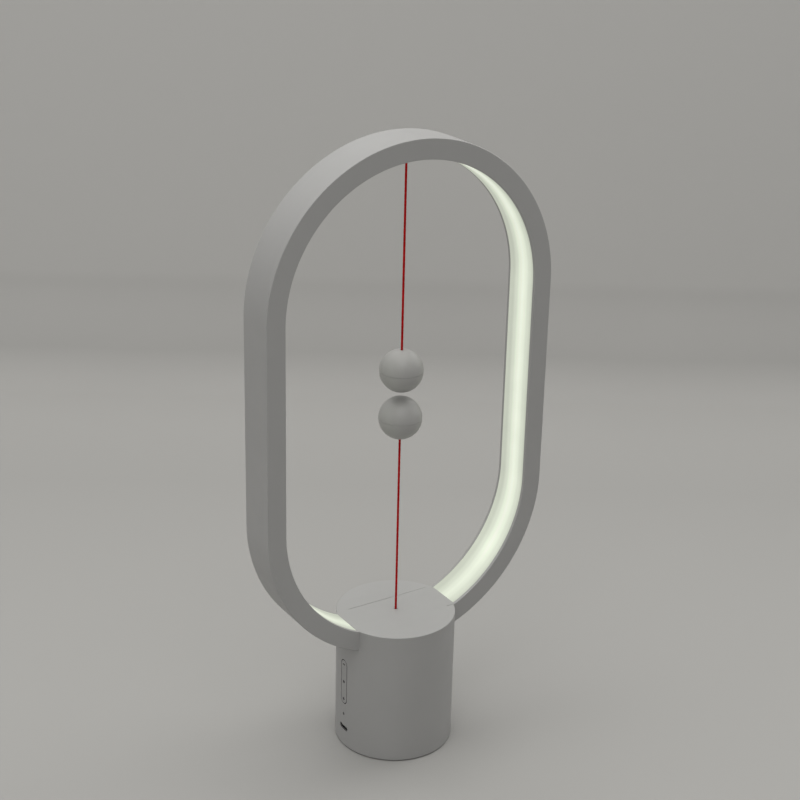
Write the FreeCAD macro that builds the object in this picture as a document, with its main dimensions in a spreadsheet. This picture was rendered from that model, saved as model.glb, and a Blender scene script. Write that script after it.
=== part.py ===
"""Magnetic balance lamp: a lit oval ring on a round base, with two magnetic balls on strings.

Millimetres. +X runs along the ring's width, -Y is the front and +Z is up. The origin is on the
surface that the lamp stands on, at the middle of the base. The model is drawn as the lamp is when
it is lit: the lower ball is lifted, both strings are tight, and the lower one holds the switch up.
"""
import FreeCAD
import Part
import math
import os
import re

import Sketcher
from FreeCAD import Rotation, Vector

doc = FreeCAD.newDocument("balance_lamp")

# ------------------------------------------------------------------------------ driving sizes

SIZES = [
    ("spare", 1.0, "overrun of a cutting tool past what it cuts"),
    ("weld", 0.2, "overlap that joins one form of a piece to the next"),
    ("ring_width", 200.0, "outside width of the oval ring"),
    ("ring_height", 331.7, "outside height of the oval ring"),
    ("ring_depth", 28.0, "depth of the ring, front to back"),
    ("ring_band", 12.6, "thickness of the ring from outside to inside"),
    ("ring_bottom", 70.2, "height of the ring's lowest point"),
    ("ring_face", 2.0, "thickness of the ring's front plate and back cover"),
    ("ring_wall", 1.8, "thickness of the ring's outer wall"),
    ("ring_bevel", 0.4, "bevel along the ring's edges"),
    ("cover_gap", 0.1, "gap around the ring's back cover"),
    ("rim_gap", 0.15, "gap between the ring's wall and the back cover's rim"),
    ("cover_rim_depth", 1.3, "reach of the back cover's locating rim into the ring"),
    ("cover_rim_wall", 1.2, "thickness of that rim"),
    ("rail_depth", 1.5, "depth of the rails behind the diffuser's edges"),
    ("rail_wall", 1.2, "thickness of those rails"),
    ("diffuser_wall", 1.6, "thickness of the diffuser"),
    ("diffuser_gap", 0.1, "gap around the diffuser"),
    ("diffuser_dip", 1.3, "depth of the diffuser's ends below the base's top"),
    ("tape_width", 8.0, "width of the light tape"),
    ("tape_wall", 0.4, "thickness of the light tape"),
    ("lamp_pitch", 16.6, "distance from one light chip to the next"),
    ("chip_length", 3.5, "length of a light chip"),
    ("chip_width", 2.8, "width of a light chip"),
    ("chip_height", 0.8, "height of a light chip"),
    ("chip_gap", 0.1, "gap between the curved tape and a flat light chip"),
    ("tape_start", 11.0, "half the space that the tapes leave at the top of the ring"),
    ("tape_finish", 27.0, "half the space that the tapes leave at the bottom of the ring"),
    ("base_diameter", 76.7, "outside diameter of the base"),
    ("base_height", 90.8, "height of the base's flat top"),
    ("base_wall", 2.4, "wall of the base"),
    ("base_bevel", 0.4, "bevel around the base's top"),
    ("cradle", 4.2, "thickness of the cradle under the ring's lowest point"),
    ("slot_gap", 0.15, "gap between the ring and its slot in the base"),
    ("slot_wall", 2.0, "wall along each side of the slot"),
    ("foot_height", 0.8, "thickness of the rubber foot"),
    ("foot_inset", 0.35, "distance of the foot pad's edge inside the base's inner wall"),
    ("foot_inner", 24.5, "inside radius of the foot"),
    ("bottom_wall", 3.0, "thickness of the base's bottom cover"),
    ("bottom_gap", 0.2, "gap around the bottom cover"),
    ("post_inset", 3.35, "distance of the screw posts' middles inside the base's inner wall"),
    ("post_radius", 3.5, "radius of a screw post"),
    ("post_height", 16.0, "height of a screw post above the bottom cover"),
    ("post_bore", 1.25, "radius of the bore in a screw post"),
    ("bore_floor", 2.0, "material left at the end of a blind bore"),
    ("cover_hole", 1.5, "radius of the bottom cover's screw holes"),
    ("cover_counterbore", 3.1, "radius of the recesses for those screws' heads"),
    ("cover_recess", 2.0, "depth of those recesses"),
    ("head_inset", 0.3, "distance of a screw's head inside its recess"),
    ("string_diameter", 1.4, "diameter of the string"),
    ("string_length", 120.1, "free length of the lower string, from the base to its ball"),
    ("string_gap", 0.2, "gap that keeps the string's separate stretches apart"),
    ("root_height", 0.8, "length of the string's bending stretch at the base's top"),
    ("hole_gap", 0.4, "gap around the string in its guide"),
    ("string_way", 3.0, "radius of the holes for the string under its guide"),
    ("knot_radius", 1.8, "radius of a knot in the string"),
    ("ball_diameter", 27.2, "diameter of a ball"),
    ("ball_wall", 2.0, "wall of a ball"),
    ("ball_space", 3.9, "space between the two balls when they attract each other"),
    ("ball_lap", 1.0, "height of the step where the two halves of a ball meet"),
    ("seam_gap", 0.05, "gap between the two halves of a ball"),
    ("magnet_radius", 7.5, "radius of a magnet"),
    ("magnet_height", 5.0, "height of a magnet"),
    ("socket_gap", 0.1, "gap around a magnet in its socket"),
    ("socket_wall", 1.2, "wall of the magnet's socket"),
    ("socket_lip", 0.2, "reach of that socket past the magnet"),
    ("bead_radius", 2.5, "radius of the bead that carries the upper string"),
    ("bead_seat", 1.75, "radius of the hole that the bead hangs in"),
    ("bead_gap", 0.15, "gap between the bead and its seat"),
    ("anchor_floor", 1.5, "thickness of the plate that carries the bead"),
    ("anchor_width", 18.0, "width of the anchor along the ring"),
    ("anchor_gap", 0.15, "gap around the anchor"),
    ("anchor_window", 11.0, "width of the opening around the bead"),
    ("window_height", 5.0, "height of that opening"),
    ("anchor_rib", 1.2, "thickness of the ribs that locate the anchor"),
    ("rib_lift", 4.0, "height of those ribs' lower ends above the anchor's underside"),
    ("rib_gap", 0.5, "gap between those ribs and the back cover's rim"),
    ("ceiling_hole", 2.7, "radius of the hole in the diffuser for the upper string"),
    ("bridge_skin", 2.2, "thickness of the plate between the ring's ends"),
    ("bridge_edge", 0.3895, "distance of that plate's ends inside the ring's inner edge"),
    ("bridge_gap", 0.1, "gap between that plate and the ring below it"),
    ("bridge_screw_x", 22.0, "distance of the plate's two screws from the middle"),
    ("bridge_hole", 1.7, "radius of the holes that those screws pass through"),
    ("bridge_bore", 1.45, "radius of the bores that they are driven into"),
    ("bridge_post", 3.4, "radius of the posts around those bores"),
    ("bridge_post_gap", 0.2582, "gap between those posts' lower ends and the ring's outer wall"),
    ("bridge_head_hole", 3.1, "radius of the recesses for those screws' heads"),
    ("bridge_recess", 2.9, "depth of those recesses"),
    ("bush_radius", 2.5, "outside radius of the string's guide bush"),
    ("bush_fit", 0.02, "gap around the guide bush"),
    ("bush_cover", 0.8, "thickness of the plate left above the guide bush"),
    ("bush_flange", 1.5, "reach of the guide bush's flange"),
    ("bush_flange_wall", 1.0, "thickness of that flange"),
    ("boss_wall", 1.7, "wall of the boss around the guide bush"),
    ("boss_height", 4.6, "height of that boss under the plate"),
    ("pull_travel", 3.0, "travel of the switch slider"),
    ("stop_gap", 0.3, "gap left under the switch slider's flange at its lower stop"),
    ("stem_radius", 3.0, "radius of the switch slider's stem"),
    ("stem_gap", 0.15, "gap around the stem in its guide"),
    ("stem_bottom", 37.5, "height of the stem's lower end"),
    ("stem_height", 18.5, "length of the stem"),
    ("flange_height", 1.5, "thickness of the slider's flange"),
    ("flange_radius", 5.6, "radius of the slider's flange"),
    ("finger_reach", 14.0, "reach of the slider's finger towards the micro switch"),
    ("finger_width", 4.0, "width of the slider's finger"),
    ("finger_gap", 0.3, "gap between the lifted finger and the micro switch's button"),
    ("frame_front", 21.0, "reach of the switch frame towards the board"),
    ("frame_back", 12.0, "reach of the switch frame towards the battery"),
    ("frame_bottom", 40.0, "height of the switch frame's lower end"),
    ("frame_width", 15.0, "width of the switch frame"),
    ("frame_side", 1.5, "side wall of the switch frame"),
    ("frame_top", 3.0, "top plate of the switch frame"),
    ("frame_floor", 2.5, "bottom plate of the switch frame"),
    ("frame_step", 6.0, "height of the step under the switch frame's front"),
    ("guide_wall", 6.0, "distance of that step from the slider's stem"),
    ("frame_hole", 1.2, "radius of the switch frame's screw holes"),
    ("frame_pilot", 1.05, "radius of the bores for those screws in the cradle"),
    ("frame_pilot_depth", 3.8, "depth of those bores"),
    ("frame_screw_back", 8.6, "distance of the rear one from the string"),
    ("frame_screw_front", 15.0, "distance of the front one from the string"),
    ("switch_length", 12.8, "length of the micro switch"),
    ("switch_width", 5.8, "width of the micro switch"),
    ("switch_height", 6.5, "height of the micro switch"),
    ("switch_left", 20.3, "distance of the micro switch's far end from the string"),
    ("switch_low", 50.0, "height of the micro switch's underside"),
    ("switch_button", 1.0, "radius of the micro switch's button"),
    ("button_inset", 2.0, "distance of that button from the finger's tip"),
    ("switch_hole", 1.0, "radius of the micro switch's two mounting holes"),
    ("switch_hole_space", 6.5, "distance between those holes"),
    ("switch_hole_height", 2.0, "height of those holes above the micro switch's underside"),
    ("tab_start", 1.6, "distance of the micro switch's first tab from its far end"),
    ("tab_space", 4.2, "distance from one tab to the next"),
    ("tab_wall", 0.6, "thickness of a tab"),
    ("tab_width", 2.0, "width of a tab"),
    ("tab_length", 3.0, "length of a tab"),
    ("pin_gap", 0.03, "gap around a pin in its hole"),
    ("spring_radius", 4.3, "mean radius of the return spring"),
    ("spring_wire", 0.6, "wire of the return spring"),
    ("spring_turns", 5.0, "turns of the return spring"),
    ("spring_gap", 0.05, "gap at each end of the return spring"),
    ("board_inset", 13.85, "depth of the main board's face behind the base's outside"),
    ("board_wall", 1.6, "thickness of the main board"),
    ("board_width", 30.0, "width of the main board"),
    ("board_low", 18.0, "height of the main board's lower edge"),
    ("board_top_gap", 1.5, "gap above the main board"),
    ("board_gap", 0.1, "gap around the main board in its grooves"),
    ("groove_depth", 1.6, "depth of the board's grooves"),
    ("rail_reach", 3.6, "reach of the groove rails past the main board's face"),
    ("rail_front", 9.0, "reach of the groove rails in front of that face"),
    ("rail_drop", 2.0, "reach of the groove rails below the main board"),
    ("board_stop", 2.4, "width of the two stops under the main board"),
    ("board_stop_inset", 0.4, "distance of those stops from the board's edges"),
    ("socket_depth", 4.0, "depth of a lead's socket on the main board"),
    ("socket_height", 6.0, "height of those sockets"),
    ("light_socket_width", 5.0, "width of the light lead's socket"),
    ("light_socket_y", 10.7, "place of that socket in depth"),
    ("light_socket_z", 53.0, "height of that socket's middle"),
    ("cell_socket_width", 7.0, "width of the battery lead's socket"),
    ("cell_socket_y", 9.5, "distance of that socket in front of the middle"),
    ("cell_socket_z", 38.0, "height of that socket's middle"),
    ("key_length", 32.5, "length of the key opening"),
    ("key_width", 7.2, "width of the key opening"),
    ("key_centre", 47.75, "height of the middle of the keys"),
    ("key_gap", 0.35, "gap around the key strip"),
    ("key_depth", 3.95, "depth of the key strip at its middle"),
    ("key_flange", 0.8, "overlap and thickness of the key strip's retaining flange"),
    ("key_pivot", 5.75, "depth of the key strip's pivot behind the base's outside"),
    ("key_pin", 0.75, "radius of the key strip's pivot pin"),
    ("key_pin_gap", 0.05, "gap around that pin in the key strip"),
    ("key_boss", 4.0, "width of the boss around that pin"),
    ("key_boss_height", 5.2, "height of that boss"),
    ("key_boss_reach", 1.6, "reach of that boss past the pin"),
    ("key_mark", 0.5, "depth of the marks in the key strip"),
    ("key_mark_space", 12.75, "distance from one mark to the next"),
    ("mark_line", 0.7, "width of a mark's line"),
    ("mark_length", 2.6, "length of a mark's line"),
    ("mark_dot", 0.9, "radius of the middle mark"),
    ("plate_depth", 8.05, "depth of the key plate's web behind the base's outside"),
    ("plate_wall", 0.8, "thickness of the key plate's web"),
    ("plate_half", 8.8, "half height of the key plate"),
    ("plate_side", 3.6, "half width of the key plate"),
    ("ear_inner", 2.3, "distance of the key plate's two ears from its middle"),
    ("ear_height", 4.8, "height of those ears"),
    ("ear_reach", 1.2, "reach of those ears past the pivot pin"),
    ("peg_space", 6.4, "distance of the key plate's pegs from its middle"),
    ("peg_radius", 1.0, "radius of those pegs"),
    ("peg_gap", 0.2, "gap around those pegs in the main board"),
    ("peg_reach", 0.5, "reach of those pegs past the main board"),
    ("tact_space", 12.8, "distance of the outer push switches from the middle one"),
    ("tact_size", 6.0, "side of a push switch"),
    ("tact_height", 3.5, "height of a push switch's case"),
    ("tact_stem", 1.7, "radius of a push switch's plunger"),
    ("outer_play", 1.05, "gap between the key strip and the outer plungers"),
    ("middle_play", 0.65, "gap between the key plate and the middle plunger"),
    ("pilot_height", 23.8, "height of the indicator light"),
    ("pilot_radius", 0.9, "radius of the indicator's light guide"),
    ("pilot_gap", 0.1, "gap around the light guide"),
    ("pilot_inset", 0.05, "distance of the light guide's end behind the base's outside"),
    ("guide_flange", 1.1, "reach of the light guide's flange"),
    ("guide_flange_wall", 1.0, "thickness of that flange"),
    ("guide_seat", 0.35, "gap behind the wall that leaves room for its curve"),
    ("lamp_height", 0.8, "height of the indicator light on the main board"),
    ("lamp_width", 3.0, "width of the indicator light"),
    ("lamp_tall", 1.6, "length of the indicator light"),
    ("lamp_gap", 0.3, "gap between the indicator light and its light guide"),
    ("port_height", 13.9, "height of the charging port"),
    ("port_width", 9.0, "width of the charging port"),
    ("port_tall", 3.2, "height of the charging port's shell"),
    ("port_depth", 7.4, "length of the charging port"),
    ("port_inset", 0.35, "distance of the port's mouth behind the base's outside"),
    ("port_wall", 0.3, "wall of the charging port's shell"),
    ("port_gap", 0.2, "gap around the port in the base"),
    ("port_back", 1.2, "thickness of the port's closed end"),
    ("tongue_inset", 0.8, "distance of the port's tongue behind its mouth"),
    ("tongue_width", 6.6, "width of the port's tongue"),
    ("tongue_wall", 0.7, "thickness of the port's tongue"),
    ("charge_wall", 1.0, "thickness of the charging board"),
    ("charge_width", 20.0, "width of the charging board"),
    ("charge_inset", 4.35, "distance of the charging board behind the base's outside"),
    ("charge_length", 20.0, "length of the charging board"),
    ("charge_screw_inset", 4.0, "distance of the charging board's screws from its rear edge"),
    ("charge_screw_y", 7.0, "distance of those screws from the board's centre line"),
    ("board_post", 2.6, "radius of the posts under those screws"),
    ("board_bore", 1.05, "radius of the bores in those posts"),
    ("board_bore_depth", 6.0, "depth of those bores"),
    ("board_hole", 1.15, "radius of the charging board's screw holes"),
    ("ballast_gap", 0.7, "gap between the ballast weight and the screw posts"),
    ("ballast_height", 8.0, "height of the ballast weight"),
    ("ballast_space", 2.0, "space between the ballast's flat side and the charging board"),
    ("cell_x", 23.0, "distance of the battery cell's axis from the middle"),
    ("cell_radius", 9.15, "radius of the battery cell"),
    ("cell_height", 49.5, "height of the battery cell's case"),
    ("crimp_drop", 3.0, "distance of the cell's crimp below its top"),
    ("crimp_half", 0.6, "half height of that crimp"),
    ("crimp_depth", 0.5, "depth of that crimp"),
    ("pole_radius", 3.0, "radius of the cell's raised pole"),
    ("pole_height", 1.0, "height of that pole"),
    ("holder_gap", 0.2, "gap around the cell in its holder"),
    ("holder_wall", 1.65, "wall of the battery holder"),
    ("holder_floor", 2.0, "floor of the battery holder"),
    ("holder_height", 20.0, "height of the battery holder's cup"),
    ("holder_mouth", 6.0, "width of the slot in the battery holder's cup"),
    ("holder_lug", 3.5, "reach of the holder's plate past its screws"),
    ("holder_hole", 1.4, "radius of the holder's screw holes"),
    ("ballast_tap", 1.25, "radius of the bores for those screws in the ballast"),
    ("tap_depth", 6.0, "depth of those bores"),
    ("holder_screw_x", 11.0, "distance of the holder's screws from the middle, sideways"),
    ("holder_screw_y", 11.0, "distance of the holder's screws from the middle, in depth"),
    ("lead_radius", 1.1, "radius of the inner two-core leads"),
    ("lead_hole_x", 10.0, "place of the light lead's hole under the ring, sideways"),
    ("lead_hole_y", 9.5, "place of the light lead's hole under the ring, in depth"),
    ("lead_hole", 2.0, "radius of that hole"),
]

# Sizes worked out from the driving ones, in the same expression language as the sheet's.
DERIVED = {
    "ring_outer": "ring_width / 2",
    "ring_inner": "ring_width / 2 - ring_band",
    "ring_top": "ring_bottom + ring_height",
    "high_centre": "ring_top - ring_outer",
    "low_centre": "ring_bottom + ring_outer",
    "wall_inner": "ring_outer - ring_wall",
    "diffuser_outer": "ring_inner + diffuser_wall",
    "rail_inner": "diffuser_outer + diffuser_gap",
    "ring_half": "ring_depth / 2",
    "base_radius": "base_diameter / 2",
    "base_inner": "base_radius - base_wall",
    "slot_half": "ring_half + slot_gap",
    "post_reach": "bridge_screw_x + bridge_post",
    "post_low": "low_centre - sqrt(wall_inner ^ 2 - post_reach ^ 2) + bridge_post_gap",
    "bridge_arc": "ring_inner - bridge_gap",
    "bridge_end": "sqrt(bridge_arc ^ 2 - (low_centre - base_height) ^ 2) - bridge_edge",
    "cradle_low": "ring_bottom - cradle",
    "cover_top": "foot_height + bottom_wall",
    "board_high": "cradle_low - board_top_gap",
    "string_radius": "string_diameter / 2",
    "string_hole": "string_radius + hole_gap",
    "ball_radius": "ball_diameter / 2",
    "ball_inner": "ball_radius - ball_wall",
    "low_ball": "base_height + string_length + ball_radius",
    "high_ball": "low_ball + ball_diameter + ball_space",
    "magnet_low": "sqrt(ball_inner ^ 2 - magnet_radius ^ 2)",
    "seat_drop": "sqrt(bead_radius ^ 2 - bead_seat ^ 2) + bead_gap",
    "anchor_low": "high_centre + diffuser_outer + diffuser_gap",
    "pivot_height": "anchor_low + anchor_floor + seat_drop",
    "board_face": "board_inset - base_radius",
    "board_back": "board_face + board_wall",
    "key_pivot_x": "key_pivot - base_radius",
    "key_back": "key_depth - base_radius",
    "key_radius": "key_width / 2 - key_gap",
    "key_half": "(key_length - key_width) / 2",
    "plate_front": "plate_depth - base_radius",
    "plate_back": "plate_front + plate_wall",
    "ballast_top": "cover_top + ballast_height",
    "cell_low": "ballast_top + holder_floor",
    "holder_inner": "cell_radius + holder_gap",
    "charge_top": "port_height - port_tall / 2",
    "charge_low": "charge_top - charge_wall",
    "charge_start": "base_radius - charge_inset",
    "charge_finish": "charge_start - charge_length",
    "charge_screw_x": "charge_finish + charge_screw_inset",
    "ballast_flat": "charge_finish - ballast_space",
    "flange_bottom": "frame_bottom + frame_floor + stop_gap + pull_travel",
    "flange_top": "flange_bottom + flange_height",
    "frame_half": "frame_width / 2",
    "spring_low": "flange_top + spring_wire / 2 + spring_gap",
    "spring_high": "cradle_low - frame_top - spring_wire / 2 - spring_gap",
    "post_circle": "base_inner - post_inset",
    "ballast_radius": "post_circle - post_radius - ballast_gap",
    "foot_outer": "base_inner - foot_inset",
    "post_corner": "post_circle * sqrt(2) / 2",
    "rim_outer": "wall_inner - rim_gap",
    "rim_inner": "rim_outer - cover_rim_wall",
    "skin_low": "base_height - bridge_skin",
    "switch_hole_z": "switch_low + switch_hole_height",
    "socket_front": "board_back + socket_depth",
}

# Each kind of screw: head radius, head height, shank radius and shank length.
SCREWS = {
    "cover_screws": ("2.8", "1.7", "1.2", "10"),
    "bridge_screws": ("2.7", "2.6", "1.35", "17"),
    "frame_screws": ("2.0", "1.5", "1.0", "frame_top + 3.4"),
    "board_screws": ("1.9", "1.3", "1.0", "6.5"),
    "holder_screws": ("2.2", "1.6", "1.2", "7"),
}
SPRING_SIDES = 6

sizes = doc.addObject("Spreadsheet::Sheet", "Sizes")
for row, (alias, number, words) in enumerate(SIZES, 1):
    sizes.set(f"A{row}", words)
    sizes.set(f"B{row}", repr(number))
    sizes.setAlias(f"B{row}", alias)
doc.recompute()

ALIASES = {alias for alias, _, _ in SIZES}
WORD = re.compile(r"[a-z_][a-z_0-9]*")


def bound(text):
    """An expression with each word of it written as a cell of the sheet."""
    def cell(found):
        word = found.group()
        if word in ALIASES:
            return "Sizes." + word
        if word in DERIVED:
            return "(" + bound(DERIVED[word]) + ")"
        return word

    return WORD.sub(cell, str(text))


def size(text):
    """The value that an expression has now."""
    return float(sizes.evalExpression(bound(text)))


# ------------------------------------------------------------------------------ drawing tools

PARTS = {}


def named(node, shape_object):
    """Lists an object as the lamp's piece of that name."""
    shape_object.Label = node
    PARTS[node] = shape_object
    return shape_object


def new_body(node):
    return named(node, doc.addObject("PartDesign::Body", node))


def new_sketch(body, name, plane, offset="0"):
    """A sketch on one of the body's own planes, moved along the plane's normal.

    The normals are +Z for XY, -Y for XZ and +X for YZ.
    """
    sketch = body.newObject("Sketcher::SketchObject", name)
    own = [f for f in body.Origin.OriginFeatures if f.Role == plane + "_Plane"]
    sketch.AttachmentSupport = (own[0], [""])
    sketch.MapMode = "FlatFace"
    sketch.setExpression("AttachmentOffset.Base.z", bound(offset))
    return sketch


def hold(sketch, kind, where, text):
    """Adds a dimension that follows the sheet."""
    index = sketch.addConstraint(Sketcher.Constraint(kind, *where, size(text)))
    name = f"{kind.lower()}_{index}"
    sketch.renameConstraint(index, name)
    sketch.setExpression("Constraints." + name, bound(text))


def fix_point(sketch, edge, end, x, y):
    """Holds a point at x and y from the sketch's origin, or on its axes where they are 0."""
    if x == "0":
        sketch.addConstraint(Sketcher.Constraint("PointOnObject", edge, end, -2))
    else:
        hold(sketch, "DistanceX", (-1, 1, edge, end), x)
    if y == "0":
        sketch.addConstraint(Sketcher.Constraint("PointOnObject", edge, end, -1))
    else:
        hold(sketch, "DistanceY", (-1, 1, edge, end), y)


def circle(sketch, radius, x="0", y="0"):
    shape = Part.Circle(Vector(size(x), size(y), 0), Vector(0, 0, 1), size(radius))
    edge = sketch.addGeometry(shape)
    hold(sketch, "Radius", (edge,), radius)
    fix_point(sketch, edge, 3, x, y)


def outline(sketch, corners):
    """A closed outline. A corner is (x, y), or (x, y, centre x, centre y, radius) where the edge
    that reaches it is an arc around that centre, the short way round."""
    edges = []
    for number, corner in enumerate(corners):
        before = corners[number - 1]
        start = Vector(size(before[0]), size(before[1]), 0)
        end = Vector(size(corner[0]), size(corner[1]), 0)
        if len(corner) == 2:
            edge = sketch.addGeometry(Part.LineSegment(start, end))
            edges.append((edge, 1, 2))
            continue
        centre = Vector(size(corner[2]), size(corner[3]), 0)
        turned = math.atan2(start.y - centre.y, start.x - centre.x)
        turned_to = math.atan2(end.y - centre.y, end.x - centre.x)
        round_edge = Part.Circle(centre, Vector(0, 0, 1), size(corner[4]))
        if (turned_to - turned) % (2 * math.pi) < math.pi:
            edge = sketch.addGeometry(Part.ArcOfCircle(round_edge, turned, turned_to))
            edges.append((edge, 1, 2))
        else:
            edge = sketch.addGeometry(Part.ArcOfCircle(round_edge, turned_to, turned))
            edges.append((edge, 2, 1))
        hold(sketch, "Radius", (edge,), corner[4])
    for number, corner in enumerate(corners):
        edge, _, last = edges[number]
        after, first, _ = edges[(number + 1) % len(edges)]
        sketch.addConstraint(Sketcher.Constraint("Coincident", edge, last, after, first))
        fix_point(sketch, edge, last, corner[0], corner[1])


def rectangle(sketch, left, low, right, high):
    outline(sketch, [(left, low), (right, low), (right, high), (left, high)])


def pill(sketch, radius, x_low, y_low, x_high, y_high):
    """A round-ended slot around two centres that lie along one axis of the sketch."""
    upright = x_low == x_high
    sides = []
    for x, y, from_degrees in (
        (x_high, y_high, 0 if upright else -90),
        (x_low, y_low, 180 if upright else 90),
    ):
        round_end = Part.Circle(Vector(size(x), size(y), 0), Vector(0, 0, 1), size(radius))
        start = math.radians(from_degrees)
        edge = sketch.addGeometry(Part.ArcOfCircle(round_end, start, start + math.pi))
        fix_point(sketch, edge, 3, x, y)
        sides.append(edge)
    high, low = sides
    for a, b in ((high, low), (low, high)):
        ends = [sketch.getPoint(a, 2), sketch.getPoint(b, 1)]
        line = sketch.addGeometry(Part.LineSegment(*ends))
        sketch.addConstraint(Sketcher.Constraint("Tangent", a, 2, line, 1))
        sketch.addConstraint(Sketcher.Constraint("Tangent", line, 2, b, 1))
    hold(sketch, "Radius", (high,), radius)


def oval(sketch, radius):
    """The ring's oval, drawn at a radius of its round ends."""
    pill(sketch, radius, "0", "low_centre", "0", "high_centre")


def feature(body, kind, name, sketch, length=None, way="forward"):
    """A Pad or Pocket. The way is forward, back or both, or through for a Pocket."""
    made = body.newObject("PartDesign::" + kind, name)
    made.Profile = sketch
    if way == "through":
        made.Type = "ThroughAll"
        made.SideType = "Symmetric"
    else:
        made.setExpression("Length", bound(length))
        made.Reversed = way == "back"
        made.SideType = "Symmetric" if way == "both" else "One side"
    sketch.Visibility = False
    return made


def pad(body, name, sketch, length, way="forward"):
    return feature(body, "Pad", name, sketch, length, way)


def pocket(body, name, sketch, length=None, way="through"):
    return feature(body, "Pocket", name, sketch, length, way)


def turned(body, name, sketch, kind="Revolution"):
    """A Revolution or Groove around the sketch's upright axis."""
    made = body.newObject("PartDesign::" + kind, name)
    made.Profile = sketch
    made.ReferenceAxis = (sketch, ["V_Axis"])
    made.Angle = 360
    return made


def bevel(body, name, amount, chosen):
    """A Chamfer on the edges of the body's tip that the test chooses."""
    doc.recompute()
    tip = body.Tip
    edges = [f"Edge{n}" for n, edge in enumerate(tip.Shape.Edges, 1) if chosen(edge)]
    made = body.newObject("PartDesign::Chamfer", name)
    made.Base = (tip, edges)
    made.setExpression("Size", bound(amount))
    return made


def around(body, name, originals, times):
    """The originals repeated around the body's Z axis."""
    made = body.newObject("PartDesign::PolarPattern", name)
    made.Originals = originals
    axis = [f for f in body.Origin.OriginFeatures if f.Role == "Z_Axis"]
    made.Axis = (axis[0], [""])
    made.Angle = 360
    made.Occurrences = times
    body.Tip = made
    return made


AXIS_TURN = {
    "Z": Rotation(),
    "X": Rotation(Vector(0, 1, 0), 90),
    "Y": Rotation(Vector(1, 0, 0), -90),
}


def place(shape_object, x, y, z):
    for axis, text in zip("xyz", (x, y, z)):
        shape_object.setExpression("Placement.Base." + axis, bound(text))


def rod(name, radius, length, x="0", y="0", z="0", axis="Z"):
    """A cylinder from x, y, z along an axis."""
    made = doc.addObject("Part::Cylinder", name)
    made.Placement.Rotation = AXIS_TURN[axis]
    made.setExpression("Radius", bound(radius))
    made.setExpression("Height", bound(length))
    place(made, x, y, z)
    return made


def block(name, x, y, z):
    """A box between two places on each axis."""
    made = doc.addObject("Part::Box", name)
    for side, (low, high) in zip(("Length", "Width", "Height"), (x, y, z)):
        made.setExpression(side, bound(f"({high}) - ({low})"))
    place(made, x[0], y[0], z[0])
    return made


def bead(name, radius, x="0", y="0", z="0"):
    made = doc.addObject("Part::Sphere", name)
    made.setExpression("Radius", bound(radius))
    place(made, x, y, z)
    return made


def joined(name, *pieces):
    made = doc.addObject("Part::MultiFuse", name)
    made.Shapes = list(pieces)
    return made


def cut(name, whole, *tools):
    made = doc.addObject("Part::Cut", name)
    made.Base = whole
    made.Tool = tools[0] if len(tools) == 1 else joined(name + "_tools", *tools)
    return made


def group(name, pieces):
    """Separate solids of one kind, kept apart in one node."""
    made = doc.addObject("Part::Compound", name)
    made.Links = list(pieces)
    return made


def screws(node, places, z):
    """Screws put in from below: the heads' undersides are at z and the shanks go up."""
    head, head_height, shank, length = SCREWS[node]
    made = []
    for n, (x, y) in enumerate(places, 1):
        low = rod(f"{node}_head_{n}", head, head_height, x, y, z)
        stem = rod(f"{node}_shank_{n}", shank, length, x, y, f"({z}) + ({head_height})")
        made.append(joined(f"{node}_{n}", low, stem))
    return named(node, group(node, made))


def down_screws(node, places, z):
    """Screws put in from above: the heads stand on z and the shanks go down."""
    head, head_height, shank, length = SCREWS[node]
    made = []
    for n, (x, y) in enumerate(places, 1):
        top = rod(f"{node}_head_{n}", head, head_height, x, y, z)
        stem = rod(f"{node}_shank_{n}", shank, length, x, y, f"({z}) - ({length})")
        made.append(joined(f"{node}_{n}", top, stem))
    return named(node, group(node, made))


def both_sides(x, y):
    """A place and its mirror image on the other side of the middle, front to back."""
    return [(x, y), (x, "-" + y)]


def tangent_route(points):
    """Straight runs joined by tangent arcs, each as large as its two runs allow."""
    edges, radii, start = [], [], points[0]
    for before, corner, after in zip(points, points[1:], points[2:]):
        run_in, run_out = before - corner, after - corner
        half_turn = (math.pi - run_in.getAngle(run_out)) / 2
        back = 0.45 * min(run_in.Length, run_out.Length)
        radii.append(back / math.tan(half_turn))
        run_in.normalize()
        run_out.normalize()
        into, out_of = corner + run_in * back, corner + run_out * back
        middle = run_in + run_out
        middle.normalize()
        reach = radii[-1] / math.cos(half_turn) - radii[-1]
        edges.append(Part.LineSegment(start, into).toShape())
        edges.append(Part.Arc(into, corner + middle * reach, out_of).toShape())
        start = out_of
    edges.append(Part.LineSegment(start, points[-1]).toShape())
    print("lead bends, mm:", [round(radius, 1) for radius in radii])
    return Part.Wire(edges)


def lead(node, radius, route):
    """A round lead along a route of points, each three expressions."""
    points = [Vector(*(size(text) for text in point)) for point in route]
    section = Part.Circle(points[0], points[1] - points[0], size(radius)).toShape()
    tube = tangent_route(points).makePipeShell([Part.Wire([section])], True, False)
    made = doc.addObject("Part::Feature", node)
    made.Shape = tube
    return named(node, made)


# ------------------------------------------------------------------------------ the ring


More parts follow.
